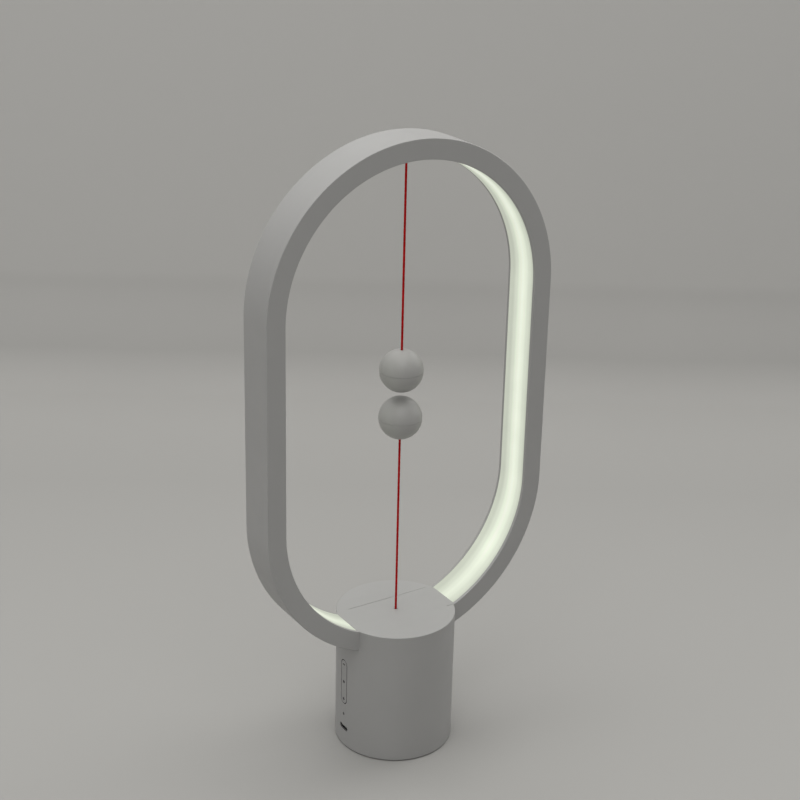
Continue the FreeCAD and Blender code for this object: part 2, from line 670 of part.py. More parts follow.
def ring_shell():
    """The ring's moulding: front plate and outer wall, open at the back for its cover."""
    body = new_body("ring_shell")
    whole = new_sketch(body, "ring_whole", "XZ")
    oval(whole, "ring_outer")
    pad(body, "ring_band_pad", whole, "ring_depth", "both")
    hollow = new_sketch(body, "ring_hollow", "XZ", "-ring_half")
    oval(hollow, "wall_inner")
    pocket(body, "ring_hollow_cut", hollow, "ring_depth - ring_face", "back")
    middle = new_sketch(body, "ring_middle", "XZ")
    oval(middle, "ring_inner")
    pocket(body, "ring_middle_cut", middle)
    half, face = size("ring_half"), size("ring_half - ring_face")

    def outside(edge):
        box = edge.BoundBox
        flat = box.YLength < 1e-6 and abs(abs(box.YMin) - half) < 1e-6
        return flat and (box.YMin < 0 or abs(edge.CenterOfMass.y - face) > 1e-6)

    bevel(body, "ring_bevels", "ring_bevel", outside)
    rail = new_sketch(body, "front_rail", "XZ", "ring_half - ring_face")
    oval(rail, "rail_inner")
    oval(rail, "rail_inner + rail_wall")
    pad(body, "front_rail_pad", rail, "rail_depth", "back")
    ribs = new_sketch(body, "anchor_ribs", "XZ", "ring_half - ring_face")
    for side in ("-", ""):
        near = f"{side}(anchor_width / 2 + cover_gap)"
        far = f"{side}(anchor_width / 2 + cover_gap + anchor_rib)"
        low, high = "anchor_low + rib_lift", "high_centre + wall_inner + ring_wall / 2"
        left, right = (far, near) if side else (near, far)
        rectangle(ribs, left, low, right, high)
    rib_reach = "ring_depth - 2 * ring_face - cover_rim_depth - rib_gap"
    pad(body, "anchor_ribs_pad", ribs, rib_reach, "back")
    holes = new_sketch(body, "ring_holes", "XY", "ring_bottom - spare")
    service_holes(holes)
    pocket(body, "ring_holes_cut", holes, "ring_band / 2 + spare", "back")


def service_holes(sketch):
    """The holes through the ring and the cradle for the string, two screws and the light lead."""
    circle(sketch, "string_way")
    for side in ("-", ""):
        circle(sketch, "bridge_hole", side + "bridge_screw_x", "0")
    circle(sketch, "lead_hole", "-lead_hole_x", "lead_hole_y")


def ring_back_cover():
    """The ring's flush back cover, with its locating rim and the rear rail for the diffuser."""
    body = new_body("ring_back_cover")
    plate = new_sketch(body, "cover_plate", "XZ", "-ring_half")
    oval(plate, "wall_inner - cover_gap")
    oval(plate, "ring_inner")
    pad(body, "cover_plate_pad", plate, "ring_face")
    inside = "ring_face - ring_half"
    rail = new_sketch(body, "rear_rail", "XZ", inside)
    oval(rail, "rail_inner")
    oval(rail, "rail_inner + rail_wall")
    pad(body, "rear_rail_pad", rail, "rail_depth")
    rim = new_sketch(body, "cover_rim", "XZ", inside)
    oval(rim, "rim_outer")
    oval(rim, "rim_inner")
    pad(body, "cover_rim_pad", rim, "cover_rim_depth")
    half = size("ring_half")

    def rear(edge):
        box = edge.BoundBox
        return box.YLength < 1e-6 and abs(box.YMin - half) < 1e-6

    bevel(body, "cover_bevels", "ring_bevel / 2", rear)


def diffuser():
    """The translucent band inside the ring, open at the bottom for the base's top plate."""
    body = new_body("diffuser")
    band = new_sketch(body, "diffuser_band", "XZ")
    oval(band, "diffuser_outer")
    oval(band, "ring_inner")
    pad(body, "diffuser_pad", band, "ring_depth - 2 * (ring_face + diffuser_gap)", "both")
    gap = new_sketch(body, "diffuser_opening", "XZ")
    top = "base_height - diffuser_dip"
    rectangle(gap, "-ring_outer / 2", "ring_bottom", "ring_outer / 2", top)
    pocket(body, "diffuser_opening_cut", gap)
    hole = new_sketch(body, "diffuser_hole", "XY", "high_centre + ring_inner - spare")
    circle(hole, "ceiling_hole")
    pocket(body, "diffuser_hole_cut", hole, "diffuser_wall + 2 * spare", "back")


def light_tape(node, side):
    """One side's flexible light tape, lying on the inside of the ring's outer wall."""
    body = new_body(node)
    back = "wall_inner - diffuser_gap"
    band = new_sketch(body, node + "_band", "XZ")
    oval(band, back)
    oval(band, f"{back} - tape_wall")
    pad(body, node + "_pad", band, "tape_width", "both")
    away = "ring_width"
    rest = new_sketch(body, node + "_rest", "XZ")
    sign, other = ("", "-") if side > 0 else ("-", "")
    outline(rest, [
        (other + away, "0"),
        (sign + "tape_finish", "0"),
        (sign + "tape_finish", "low_centre"),
        (sign + "tape_start", "low_centre"),
        (sign + "tape_start", "ring_top + ring_band"),
        (other + away, "ring_top + ring_band"),
    ])
    pocket(body, node + "_rest_cut", rest)


def light_chips(node, side):
    """The light chips of one tape, evenly spaced along it."""
    radius = size("wall_inner - diffuser_gap - tape_wall - chip_gap")
    low, high = size("low_centre"), size("high_centre")
    upper = radius * (math.pi / 2 - math.asin(size("tape_start") / radius))
    lower = radius * (math.pi / 2 - math.asin(size("tape_finish") / radius))
    length = upper + (high - low) + lower
    count = int((length - size("chip_length")) / size("lamp_pitch")) + 1
    start = (length - (count - 1) * size("lamp_pitch")) / 2
    long, wide, tall = size("chip_length"), size("chip_width"), size("chip_height")
    chips = []
    for number in range(count):
        along = start + number * size("lamp_pitch")
        if along < upper:
            turn = math.pi / 2 - (upper - along) / radius
            centre, level = high, math.pi / 2 - turn
        elif along < upper + high - low:
            centre, level = high - (along - upper), 0.0
        else:
            centre, level = low, -(along - upper - (high - low)) / radius
        box = Part.makeBox(tall, wide, long, Vector(radius - tall, -wide / 2, -long / 2))
        box.rotate(Vector(), Vector(0, 1, 0), -math.degrees(level))
        box.translate(Vector(0, 0, centre))
        chips.append(box if side > 0 else box.mirror(Vector(), Vector(1, 0, 0)))
    made = doc.addObject("Part::Feature", node)
    made.Shape = Part.makeCompound(chips)
    named(node, made)


def string_anchor():
    """The block at the top of the ring that the upper string hangs from.

    Its ears rest on the diffuser's rails, and its sides stand between the shell's ribs.
    """
    body = new_body("string_anchor")
    ear = "ring_half - ring_face - anchor_gap"
    waist = "ring_half - ring_face - rail_depth - anchor_gap"
    step = "anchor_low + rail_wall + diffuser_gap"
    top = "high_centre + ring_outer"
    section = new_sketch(body, "anchor_section", "YZ")
    outline(section, [
        (f"-({waist})", "anchor_low"),
        (waist, "anchor_low"),
        (waist, step),
        (ear, step),
        (ear, top),
        (f"-({ear})", top),
        (f"-({ear})", step),
        (f"-({waist})", step),
    ])
    pad(body, "anchor_pad", section, "anchor_width", "both")
    above = new_sketch(body, "anchor_above", "XZ")
    circle(above, "rim_inner - anchor_gap", "0", "high_centre")
    circle(above, "ring_width", "0", "high_centre")
    pocket(body, "anchor_above_cut", above)
    window = new_sketch(body, "anchor_window", "XZ")
    floor = "anchor_low + anchor_floor"
    high = f"{floor} + window_height"
    rectangle(window, "-anchor_window / 2", floor, "anchor_window / 2", high)
    pocket(body, "anchor_window_cut", window)
    seat = new_sketch(body, "bead_seat_hole", "XY", "anchor_low - spare")
    circle(seat, "bead_seat")
    pocket(body, "bead_seat_cut", seat, "anchor_floor + 2 * spare", "back")


# ------------------------------------------------------------------------------ strings and balls


def upper_line():
    """The bead that carries the upper string, and the string with its knot inside the ball."""
    named("upper_bead", bead("upper_bead", "bead_radius", z="pivot_height"))
    knot_height = "high_ball + ball_inner - knot_radius"
    length = f"pivot_height - bead_radius - string_gap - ({knot_height})"
    line = rod("upper_line", "string_radius", length, z=knot_height)
    knot = bead("upper_line_knot", "knot_radius", z=knot_height)
    named("upper_string", joined("upper_string", line, knot))


def lower_line():
    """The lower string: its free stretch, its bending root, its tail and its two knots."""
    free = rod("lower_string", "string_radius", "string_length - string_gap", z="base_height")
    named("lower_string", free)
    root_low = "base_height - string_gap - root_height"
    root = rod("lower_string_root", "string_radius", "root_height", z=root_low)
    named("lower_string_root", root)
    knot_height = "stem_bottom - knot_radius"
    tail_length = f"{root_low} - string_gap - ({knot_height})"
    tail = rod("tail_line", "string_radius", tail_length, z=knot_height)
    knot = bead("tail_knot", "knot_radius", z=knot_height)
    named("lower_string_tail", joined("lower_string_tail", tail, knot))
    entry = "low_ball - ball_radius"
    knot_in_ball = "low_ball - ball_inner + knot_radius"
    stub = rod("ball_stub", "string_radius", f"{knot_in_ball} - ({entry})", z=entry)
    end = bead("ball_knot", "knot_radius", z=knot_in_ball)
    named("lower_ball_knot", joined("lower_ball_knot", stub, end))


def string_half(node, centre, side):
    """The half of a ball that its string enters, with the tongue of the lap joint."""
    sign = "" if side > 0 else "-"
    hole = "(string_radius + string_gap)"
    step = "(ball_inner + ball_wall / 2 - socket_gap / 2)"

    def level(text):
        return f"{centre} + {sign}({text})"

    body = new_body(node)
    section = new_sketch(body, node + "_section", "XZ")
    outline(section, [
        ("ball_radius", centre),
        (hole, level(f"sqrt(ball_radius ^ 2 - {hole} ^ 2)"), "0", centre, "ball_radius"),
        (hole, level(f"sqrt(ball_inner ^ 2 - {hole} ^ 2)")),
        ("ball_inner", centre, "0", centre, "ball_inner"),
        ("ball_inner", level("-ball_lap")),
        (step, level("-ball_lap")),
        (step, centre),
    ])
    turned(body, node + "_turn", section)


def magnet_half(node, centre, side):
    """The half of a ball that holds the magnet at its pole, with the lap joint's recess."""
    sign = "" if side > 0 else "-"
    step = "(ball_inner + ball_wall / 2 + socket_gap / 2)"
    edge = "sqrt(ball_radius ^ 2 - seam_gap ^ 2)"
    socket = "(magnet_radius + socket_gap)"
    ring = "(magnet_radius + socket_gap + socket_wall)"

    def level(text):
        return f"{centre} + {sign}({text})"

    def inside(radius):
        return level(f"sqrt(ball_inner ^ 2 - {radius} ^ 2)")

    shelf = level("ball_lap + socket_gap")
    rim = level("magnet_low - magnet_height - socket_lip")
    recess = "sqrt(ball_inner ^ 2 - (ball_lap + socket_gap) ^ 2)"
    body = new_body(node)
    section = new_sketch(body, node + "_section", "XZ")
    outline(section, [
        ("0", level("ball_radius")),
        (edge, level("seam_gap"), "0", centre, "ball_radius"),
        (step, level("seam_gap")),
        (step, shelf),
        (recess, shelf),
        (ring, inside(ring), "0", centre, "ball_inner"),
        (ring, rim),
        (socket, rim),
        (socket, inside(socket)),
        ("0", level("ball_inner"), "0", centre, "ball_inner"),
    ])
    turned(body, node + "_turn", section)


def magnet(node, centre, side):
    base = "magnet_low - magnet_height - socket_gap" if side > 0 else "-magnet_low + socket_gap"
    made = rod(node, "magnet_radius", "magnet_height", z=f"{centre} + {base}")
    named(node, made)


def balls():
    string_half("upper_ball_top", "high_ball", 1)
    magnet_half("upper_ball_bottom", "high_ball", -1)
    magnet("upper_magnet", "high_ball", -1)
    magnet_half("lower_ball_top", "low_ball", 1)
    string_half("lower_ball_bottom", "low_ball", -1)
    magnet("lower_magnet", "low_ball", 1)


# ------------------------------------------------------------------------------ the base's housing


def base_shell():
    """The round base moulding, with the ring's slot, the key opening, the port and the rails."""
    body = new_body("base_shell")
    disc = new_sketch(body, "base_disc", "XY", "foot_height")
    circle(disc, "base_radius")
    pad(body, "base_pad", disc, "base_height - foot_height")
    top = size("base_height")

    def rim(edge):
        return edge.BoundBox.ZLength < 1e-6 and abs(edge.BoundBox.ZMin - top) < 1e-6

    bevel(body, "base_bevel_cut", "base_bevel", rim)
    hollow = new_sketch(body, "base_hollow", "XY", "foot_height")
    circle(hollow, "base_inner")
    pocket(body, "base_hollow_cut", hollow, "cradle_low - foot_height", "back")
    for name, side in (("front", -1), ("rear", 1)):
        space = new_sketch(body, name + "_space", "XY", "cradle_low")
        side_space(space, side)
        pocket(body, name + "_space_cut", space, "base_height - base_wall - cradle_low", "back")
    slot = new_sketch(body, "ring_slot", "XZ")
    circle(slot, "ring_outer + slot_gap", "0", "low_centre")
    pocket(body, "ring_slot_cut", slot, "2 * slot_half", "both")
    rails(body)
    post = new_sketch(body, "screw_post", "XY", "cover_top")
    circle(post, "post_radius", "post_corner", "post_corner")
    posts = pad(body, "screw_post_pad", post, "post_height")
    bore = new_sketch(body, "screw_bore", "XY", "cover_top")
    circle(bore, "post_bore", "post_corner", "post_corner")
    bores = pocket(body, "screw_bore_cut", bore, "post_height - bore_floor", "back")
    around(body, "screw_posts", [posts, bores], 4)
    under = new_sketch(body, "cradle_holes", "XY", "cradle_low - spare")
    service_holes(under)
    pocket(body, "cradle_holes_cut", under, "base_height - cradle_low + 2 * spare", "back")
    heads = new_sketch(body, "screw_recesses", "XY", "cradle_low - spare")
    for side in ("-", ""):
        circle(heads, "bridge_head_hole", side + "bridge_screw_x", "0")
    pocket(body, "screw_recesses_cut", heads, "spare + bridge_recess", "back")
    pilots = new_sketch(body, "frame_pilots", "XY", "cradle_low - spare")
    circle(pilots, "frame_pilot", "frame_screw_back", "0")
    circle(pilots, "frame_pilot", "-frame_screw_front", "0")
    pocket(body, "frame_pilots_cut", pilots, "spare + frame_pilot_depth", "back")
    wall = new_sketch(body, "wall_openings", "YZ", "-(base_inner - 3 * spare)")
    pill(wall, "key_width / 2", "0", "key_centre - key_half", "0", "key_centre + key_half")
    circle(wall, "pilot_radius + pilot_gap", "0", "pilot_height")
    half_port = "(port_width - port_tall) / 2"
    radius = "port_tall / 2 + port_gap"
    pill(wall, radius, f"-{half_port}", "port_height", half_port, "port_height")
    pocket(body, "wall_openings_cut", wall, "base_wall + 4 * spare", "forward")


def side_space(sketch, side):
    """The space beside the ring's slot: the part of the base's inside beyond a chord."""
    chord = "(slot_half + slot_wall)"
    across = f"sqrt(base_inner ^ 2 - {chord} ^ 2)"
    sign = "" if side > 0 else "-"
    outline(sketch, [
        (f"-{across}", sign + chord, "0", "0", "base_inner"),
        (across, sign + chord),
        ("0", sign + "base_inner", "0", "0", "base_inner"),
    ])


def rails(body):
    """Two rails inside the base, with the grooves that the main board slides into."""
    half = "board_width / 2"
    inner, outer = f"({half} - groove_depth)", f"({half} + groove_depth)"
    front = "board_face - rail_front"
    low_end = "board_low - rail_drop"
    for name, side in (("front", "-"), ("rear", "")):
        rail = new_sketch(body, name + "_rail", "XY", low_end)
        near, far = side + inner, side + outer
        low, high = (far, near) if side else (near, far)
        rectangle(rail, front, low, "board_face + rail_reach", high)
        pad(body, name + "_rail_pad", rail, f"cradle_low - ({low_end}) + weld")
        groove = new_sketch(body, name + "_groove", "XY", f"{low_end} - spare")
        deep = f"{side}({half} + board_gap)"
        open_side = f"{side}({inner} - spare)"
        low, high = (deep, open_side) if side else (open_side, deep)
        rectangle(groove, "board_face - board_gap", low, "board_back + board_gap", high)
        pocket(body, name + "_groove_cut", groove, f"cradle_low - ({low_end}) + spare", "back")


def bridge_plate():
    """The flush plate in the slot above the ring, with the string's hole and its screw bosses."""
    body = new_body("bridge_plate")
    edge = "low_centre - sqrt(bridge_arc ^ 2 - bridge_end ^ 2)"
    side = new_sketch(body, "bridge_side", "XZ")
    outline(side, [
        ("-bridge_end", "base_height"),
        ("-bridge_end", edge),
        ("bridge_end", edge, "0", "low_centre", "bridge_arc"),
        ("bridge_end", "base_height"),
    ])
    pad(body, "bridge_pad", side, "ring_depth", "both")
    hollow = new_sketch(body, "bridge_hollow", "XZ")
    rectangle(hollow, "-ring_outer / 2", "ring_bottom", "ring_outer / 2", "skin_low")
    pocket(body, "bridge_hollow_cut", hollow, "ring_depth - 2 * ring_face", "both")
    posts = new_sketch(body, "bridge_posts", "XY", "post_low")
    for sign in ("-", ""):
        circle(posts, "bridge_post", sign + "bridge_screw_x", "0")
    pad(body, "bridge_posts_pad", posts, "skin_low - post_low + weld")
    boss = new_sketch(body, "bush_boss", "XY", "skin_low - boss_height")
    circle(boss, "bush_radius + boss_wall")
    pad(body, "bush_boss_pad", boss, "boss_height + weld")
    bores = new_sketch(body, "bridge_bores", "XY", "post_low")
    for sign in ("-", ""):
        circle(bores, "bridge_bore", sign + "bridge_screw_x", "0")
    pocket(body, "bridge_bores_cut", bores, "skin_low - post_low - bore_floor", "back")
    seat = new_sketch(body, "bush_seat", "XY", "skin_low - boss_height - spare")
    circle(seat, "bush_radius + bush_fit")
    depth = "spare + boss_height + bridge_skin - bush_cover"
    pocket(body, "bush_seat_cut", seat, depth, "back")
    hole = new_sketch(body, "string_hole_sketch", "XY", "base_height + spare")
    circle(hole, "string_hole")
    pocket(body, "string_hole_cut", hole, "bridge_skin + 2 * spare", "forward")


def string_bush():
    """The slippery guide that the lower string runs through, pressed in from below."""
    top = "base_height - bush_cover"
    low = "skin_low - boss_height - bush_flange_wall"
    sleeve = rod("bush_sleeve", "bush_radius", f"{top} - ({low})", z=low)
    flange = rod("bush_flange_disc", "bush_radius + bush_flange", "bush_flange_wall", z=low)
    bore = rod("bush_bore", "string_hole", f"{top} - ({low}) + 2 * spare", z=f"{low} - spare")
    named("string_bush", cut("string_bush", joined("bush_body", sleeve, flange), bore))


def base_cover():
    """The bottom cover: recessed screw holes, two board posts and two stops under the board."""
    body = new_body("base_cover")
    disc = new_sketch(body, "cover_disc", "XY", "foot_height")
    circle(disc, "base_inner - bottom_gap")
    pad(body, "cover_disc_pad", disc, "bottom_wall")
    posts = new_sketch(body, "board_posts", "XY", "cover_top")
    for sign in ("-", ""):
        circle(posts, "board_post", "-charge_screw_x", sign + "charge_screw_y")
    pad(body, "board_posts_pad", posts, "charge_low - cover_top")
    bores = new_sketch(body, "board_bores", "XY", "charge_low")
    for sign in ("-", ""):
        circle(bores, "board_bore", "-charge_screw_x", sign + "charge_screw_y")
    pocket(body, "board_bores_cut", bores, "board_bore_depth", "forward")
    stops = new_sketch(body, "board_stops", "XY", "cover_top")
    outer = "(board_width / 2 - board_stop_inset)"
    inner = f"({outer} - board_stop)"
    rectangle(stops, "board_face", f"-{outer}", "board_back", f"-{inner}")
    rectangle(stops, "board_face", inner, "board_back", outer)
    pad(body, "board_stops_pad", stops, "board_low - cover_top")
    centre = new_sketch(body, "cover_hole_centre", "XY", "foot_height")
    circle(centre, "cover_hole", "post_corner", "post_corner")
    doc.recompute()
    hole = body.newObject("PartDesign::Hole", "cover_hole_cut")
    hole.Profile = centre
    doc.recompute()
    hole.DepthType = "ThroughAll"
    hole.HoleCutType = "Counterbore"
    hole.HoleCutCustomValues = True
    hole.setExpression("Diameter", bound("2 * cover_hole"))
    hole.setExpression("HoleCutDiameter", bound("2 * cover_counterbore"))
    hole.setExpression("HoleCutDepth", bound("cover_recess"))
    hole.DrillPoint = "Flat"
    hole.Reversed = True
    around(body, "cover_holes", [hole], 4)


def foot():
    outer = rod("foot_disc", "foot_outer", "foot_height")
    inner = rod("foot_hole", "foot_inner", "foot_height + 2 * spare", z="-spare")
    named("foot_pad", cut("foot_pad", outer, inner))


# ------------------------------------------------------------------------------ inside the base


def switch_frame():
    """The open frame under the cradle that guides the slider and holds the micro switch."""
    x = ("-frame_front", "frame_back")
    outer = ("-frame_half", "frame_half")
    inner = ("-frame_half + frame_side", "frame_half - frame_side")
    whole = block("frame_whole", x, outer, ("frame_bottom", "cradle_low"))
    heights = ("frame_bottom + frame_floor", "cradle_low - frame_top")
    ends = ("-frame_front - spare", "frame_back + spare")
    inside = block("frame_inside", ends, inner, heights)
    below = block("frame_step_cut", ("-frame_front - spare", "-stem_radius - guide_wall"),
                  ("-frame_width", "frame_width"),
                  ("frame_bottom - spare", "frame_bottom + frame_step"))
    guide = rod("frame_guide", "stem_radius + stem_gap", "frame_floor + 2 * spare",
                z="frame_bottom - spare")
    top, through = "cradle_low - frame_top - spare", "frame_top + 2 * spare"
    string = rod("frame_string", "string_hole", through, z=top)
    tools = [inside, below, guide, string]
    for number, x_place in enumerate(("frame_screw_back", "-frame_screw_front"), 1):
        tools.append(rod(f"frame_screw_hole_{number}", "frame_hole", through, x_place, z=top))
    for number, x_place in enumerate(switch_holes(), 1):
        tools.append(rod(f"frame_pin_hole_{number}", "switch_hole", "frame_width + 2 * spare",
                         x_place, "-frame_half - spare", "switch_hole_z", "Y"))
    named("switch_frame", cut("switch_frame", whole, *tools))


def switch_holes():
    """The places of the micro switch's two mounting holes along X."""
    middle = "-switch_left + switch_length / 2"
    return [f"{middle} - switch_hole_space / 2", f"{middle} + switch_hole_space / 2"]


def pull_slider():
    """The slider that the lower string pulls up: stem, flange and the finger to the switch."""
    body = new_body("pull_slider")
    section = new_sketch(body, "slider_section", "XZ")
    bore = "(string_radius + string_gap)"
    outline(section, [
        (bore, "stem_bottom"),
        ("stem_radius", "stem_bottom"),
        ("stem_radius", "flange_bottom"),
        ("flange_radius", "flange_bottom"),
        ("flange_radius", "flange_top"),
        ("stem_radius", "flange_top"),
        ("stem_radius", "stem_bottom + stem_height"),
        (bore, "stem_bottom + stem_height"),
    ])
    turned(body, "slider_turn", section)
    finger = new_sketch(body, "slider_finger", "XY", "flange_bottom")
    near = "-stem_radius + weld"
    rectangle(finger, "-finger_reach", "-finger_width / 2", near, "finger_width / 2")
    pad(body, "slider_finger_pad", finger, "flange_height")


def return_spring():
    """The coil spring between the slider's flange and the frame's top."""
    height = size("spring_high - spring_low")
    mean, wire = size("spring_radius"), size("spring_wire / 2")
    helix = Part.makeHelix(height / size("spring_turns"), height, mean)
    corners = [
        Vector(mean + wire * math.cos(turn), 0, wire * math.sin(turn))
        for turn in (2 * math.pi * n / SPRING_SIDES for n in range(SPRING_SIDES + 1))
    ]
    section = Part.makePolygon(corners)
    made = doc.addObject("Part::Feature", "return_spring")
    made.Shape = Part.Wire(helix.Edges).makePipeShell([section], True, True)
    made.Placement.Base = Vector(0, 0, size("spring_low"))
    named("return_spring", made)


def micro_switch():
    """The micro switch above the slider's finger, on two pins through the frame."""
    half = "switch_width / 2"
    case = block("switch_case", ("-switch_left", "-switch_left + switch_length"),
                 (f"-{half}", half), ("switch_low", "switch_low + switch_height"))
    low = "flange_top + finger_gap"
    button = rod("switch_button_rod", "switch_button", f"switch_low - ({low}) + spare",
                 "-finger_reach + button_inset", "0", low)
    top = "switch_low + switch_height"
    starts = [f"-switch_left + tab_start + {n} * tab_space" for n in range(3)]
    tabs = [
        block(f"switch_tab_{n}", (start, f"{start} + tab_wall"),
              ("-tab_width / 2", "tab_width / 2"), (f"{top} - weld", f"{top} + tab_length"))
        for n, start in enumerate(starts, 1)
    ]
    holes = [
        rod(f"switch_bore_{n}", "switch_hole", "switch_width + 2 * spare", x,
            f"-{half} - spare", "switch_hole_z", "Y")
        for n, x in enumerate(switch_holes(), 1)
    ]
    named("micro_switch", cut("micro_switch", joined("switch_body", case, button, *tabs), *holes))
    pins = [
        rod(f"switch_pin_{n}", "switch_hole - pin_gap", "frame_width", x, "-frame_half",
            "switch_hole_z", "Y")
        for n, x in enumerate(switch_holes(), 1)
    ]
    named("switch_pins", group("switch_pins", pins))


def boards():
    """The main board in its grooves and the charging board on its posts."""
    half = "board_width / 2"
    plain = block("main_plain", ("board_face", "board_back"), (f"-{half}", half),
                  ("board_low", "board_high"))
    holes = [
        rod(f"peg_hole_{n}", "peg_radius + peg_gap", "board_wall + 2 * spare",
            "board_face - spare", "0", f"key_centre {sign} peg_space", "X")
        for n, sign in enumerate("+-", 1)
    ]
    named("main_board", cut("main_board", plain, *holes))
    low = ("charge_low", "charge_top")
    flat = block("charge_plain", ("-charge_start", "-charge_finish"),
                 ("-charge_width / 2", "charge_width / 2"), low)
    places = both_sides("-charge_screw_x", "charge_screw_y")
    screw_holes = [
        rod(f"charge_hole_{n}", "board_hole", "charge_wall + 2 * spare", x, y, "charge_low - spare")
        for n, (x, y) in enumerate(places, 1)
    ]
    named("charge_board", cut("charge_board", flat, *screw_holes))
    down_screws("board_screws", places, "charge_top")
    lead_sockets()


def lead_sockets():
    """The two sockets on the main board's back, for the light tape's lead and the battery's."""
    sockets = []
    for name, y, width, z in (
        ("light_socket", "light_socket_y", "light_socket_width", "light_socket_z"),
        ("cell_socket", "-cell_socket_y", "cell_socket_width", "cell_socket_z"),
    ):
        across = (f"{y} - {width} / 2", f"{y} + {width} / 2")
        upright = (f"{z} - socket_height / 2", f"{z} + socket_height / 2")
        sockets.append(block(name, ("board_back", "socket_front"), across, upright))
    named("lead_sockets", group("lead_sockets", sockets))


def tact_switches():
    """The three push switches behind the keys; the outer two have long plungers."""
    half = "tact_size / 2"
    made = []
    long_tip, short_tip = "key_back + outer_play", "plate_back + middle_play"
    for number, (offset, tip) in enumerate((("tact_space", long_tip), ("0", short_tip),
                                            ("-tact_space", long_tip)), 1):
        level = f"key_centre + ({offset})"
        case = block(f"tact_case_{number}", ("board_face - tact_height", "board_face"),
                     (f"-{half}", half), (f"{level} - {half}", f"{level} + {half}"))
        stem = rod(f"tact_stem_{number}", "tact_stem", f"board_face - spare - ({tip})", tip,
                   "0", level, "X")
        made.append(joined(f"tact_{number}", case, stem))
    named("tact_switches", group("tact_switches", made))


def key_strip():
    """The long key: a flush strip with a retaining flange, a pivot boss and three plain marks."""
    body = new_body("key_strip")
    low, high = "key_centre - key_half", "key_centre + key_half"
    face = new_sketch(body, "key_face", "YZ", "key_back")
    pill(face, "key_radius", "0", low, "0", high)
    pad(body, "key_face_pad", face, "key_depth + 2 * spare", "back")
    beyond = new_sketch(body, "key_beyond", "XY", "key_centre")
    circle(beyond, "base_radius")
    circle(beyond, "base_diameter")
    pocket(body, "key_beyond_cut", beyond)
    flange = new_sketch(body, "key_flange_outline", "YZ", "key_back")
    pill(flange, "key_radius + key_flange", "0", low, "0", high)
    pad(body, "key_flange_pad", flange, "key_flange", "back")
    boss = new_sketch(body, "key_boss_outline", "YZ", "key_back")
    half, tall = "key_boss / 2", "key_boss_height / 2"
    rectangle(boss, f"-{half}", f"key_centre - {tall}", half, f"key_centre + {tall}")
    pad(body, "key_boss_pad", boss, "key_pivot_x - key_back + key_boss_reach")
    bore = new_sketch(body, "key_bore", "XZ")
    circle(bore, "key_pin + key_pin_gap", "key_pivot_x", "key_centre")
    pocket(body, "key_bore_cut", bore, "key_width", "both")
    key_marks(body)


def key_marks(body):
    """Plain engraved marks: a bar above, a dot in the middle and a cross of two bars below."""
    bottom, depth = "key_mark - base_radius", "key_mark + spare"
    long, thin = "mark_length / 2", "mark_line / 2"
    upper, lower = "key_centre + key_mark_space", "key_centre - key_mark_space"
    level = new_sketch(body, "level_marks", "YZ", bottom)
    for height in (upper, lower):
        rectangle(level, f"-{long}", f"{height} - {thin}", long, f"{height} + {thin}")
    circle(level, "mark_dot", "0", "key_centre")
    pocket(body, "level_marks_cut", level, depth, "forward")
    upright = new_sketch(body, "upright_mark", "YZ", bottom)
    rectangle(upright, f"-{thin}", f"{lower} - {long}", thin, f"{lower} + {long}")
    pocket(body, "upright_mark_cut", upright, depth, "forward")


def key_plate():
    """The sliding plate behind the keys: two ears for the pivot pin and two guide pegs."""
    web = block("plate_web", ("plate_front", "plate_back"), ("-plate_side", "plate_side"),
                ("key_centre - plate_half", "key_centre + plate_half"))
    reach = ("key_pivot_x - ear_reach", "plate_front + weld")
    tall = ("key_centre - ear_height / 2", "key_centre + ear_height / 2")
    sides = (("-plate_side", "-ear_inner"), ("ear_inner", "plate_side"))
    ears = [block(f"plate_ear_{n}", reach, side, tall) for n, side in enumerate(sides, 1)]
    start = "plate_back - weld"
    pegs = [
        rod(f"plate_peg_{n}", "peg_radius", f"board_back + peg_reach - ({start})", start, "0",
            f"key_centre {sign} peg_space", "X")
        for n, sign in enumerate("+-", 1)
    ]
    pin_hole = rod("plate_pin_hole", "key_pin", "2 * (plate_side + spare)", "key_pivot_x",
                   "-plate_side - spare", "key_centre", "Y")
    named("key_plate", cut("key_plate", joined("plate_body", web, *ears, *pegs), pin_hole))
    pin = rod("key_pin_rod", "key_pin", "2 * plate_side", "key_pivot_x", "-plate_side",
              "key_centre", "Y")
    named("key_pin", pin)


def indicator():
    """The light guide to the base's outside and the small light behind it."""
    start = "pilot_inset - base_radius"
    length = f"board_face - lamp_height - lamp_gap - ({start})"
    guide = rod("guide_rod", "pilot_radius", length, start, "0", "pilot_height", "X")
    flange = rod("guide_flange_disc", "pilot_radius + guide_flange", "guide_flange_wall",
                 "guide_seat - base_inner", "0", "pilot_height", "X")
    named("light_guide", joined("light_guide", guide, flange))
    half, tall = "lamp_width / 2", "lamp_tall / 2"
    named("indicator_light", block("indicator_light", ("board_face - lamp_height", "board_face"),
                                   (f"-{half}", half),
                                   (f"pilot_height - {tall}", f"pilot_height + {tall}")))


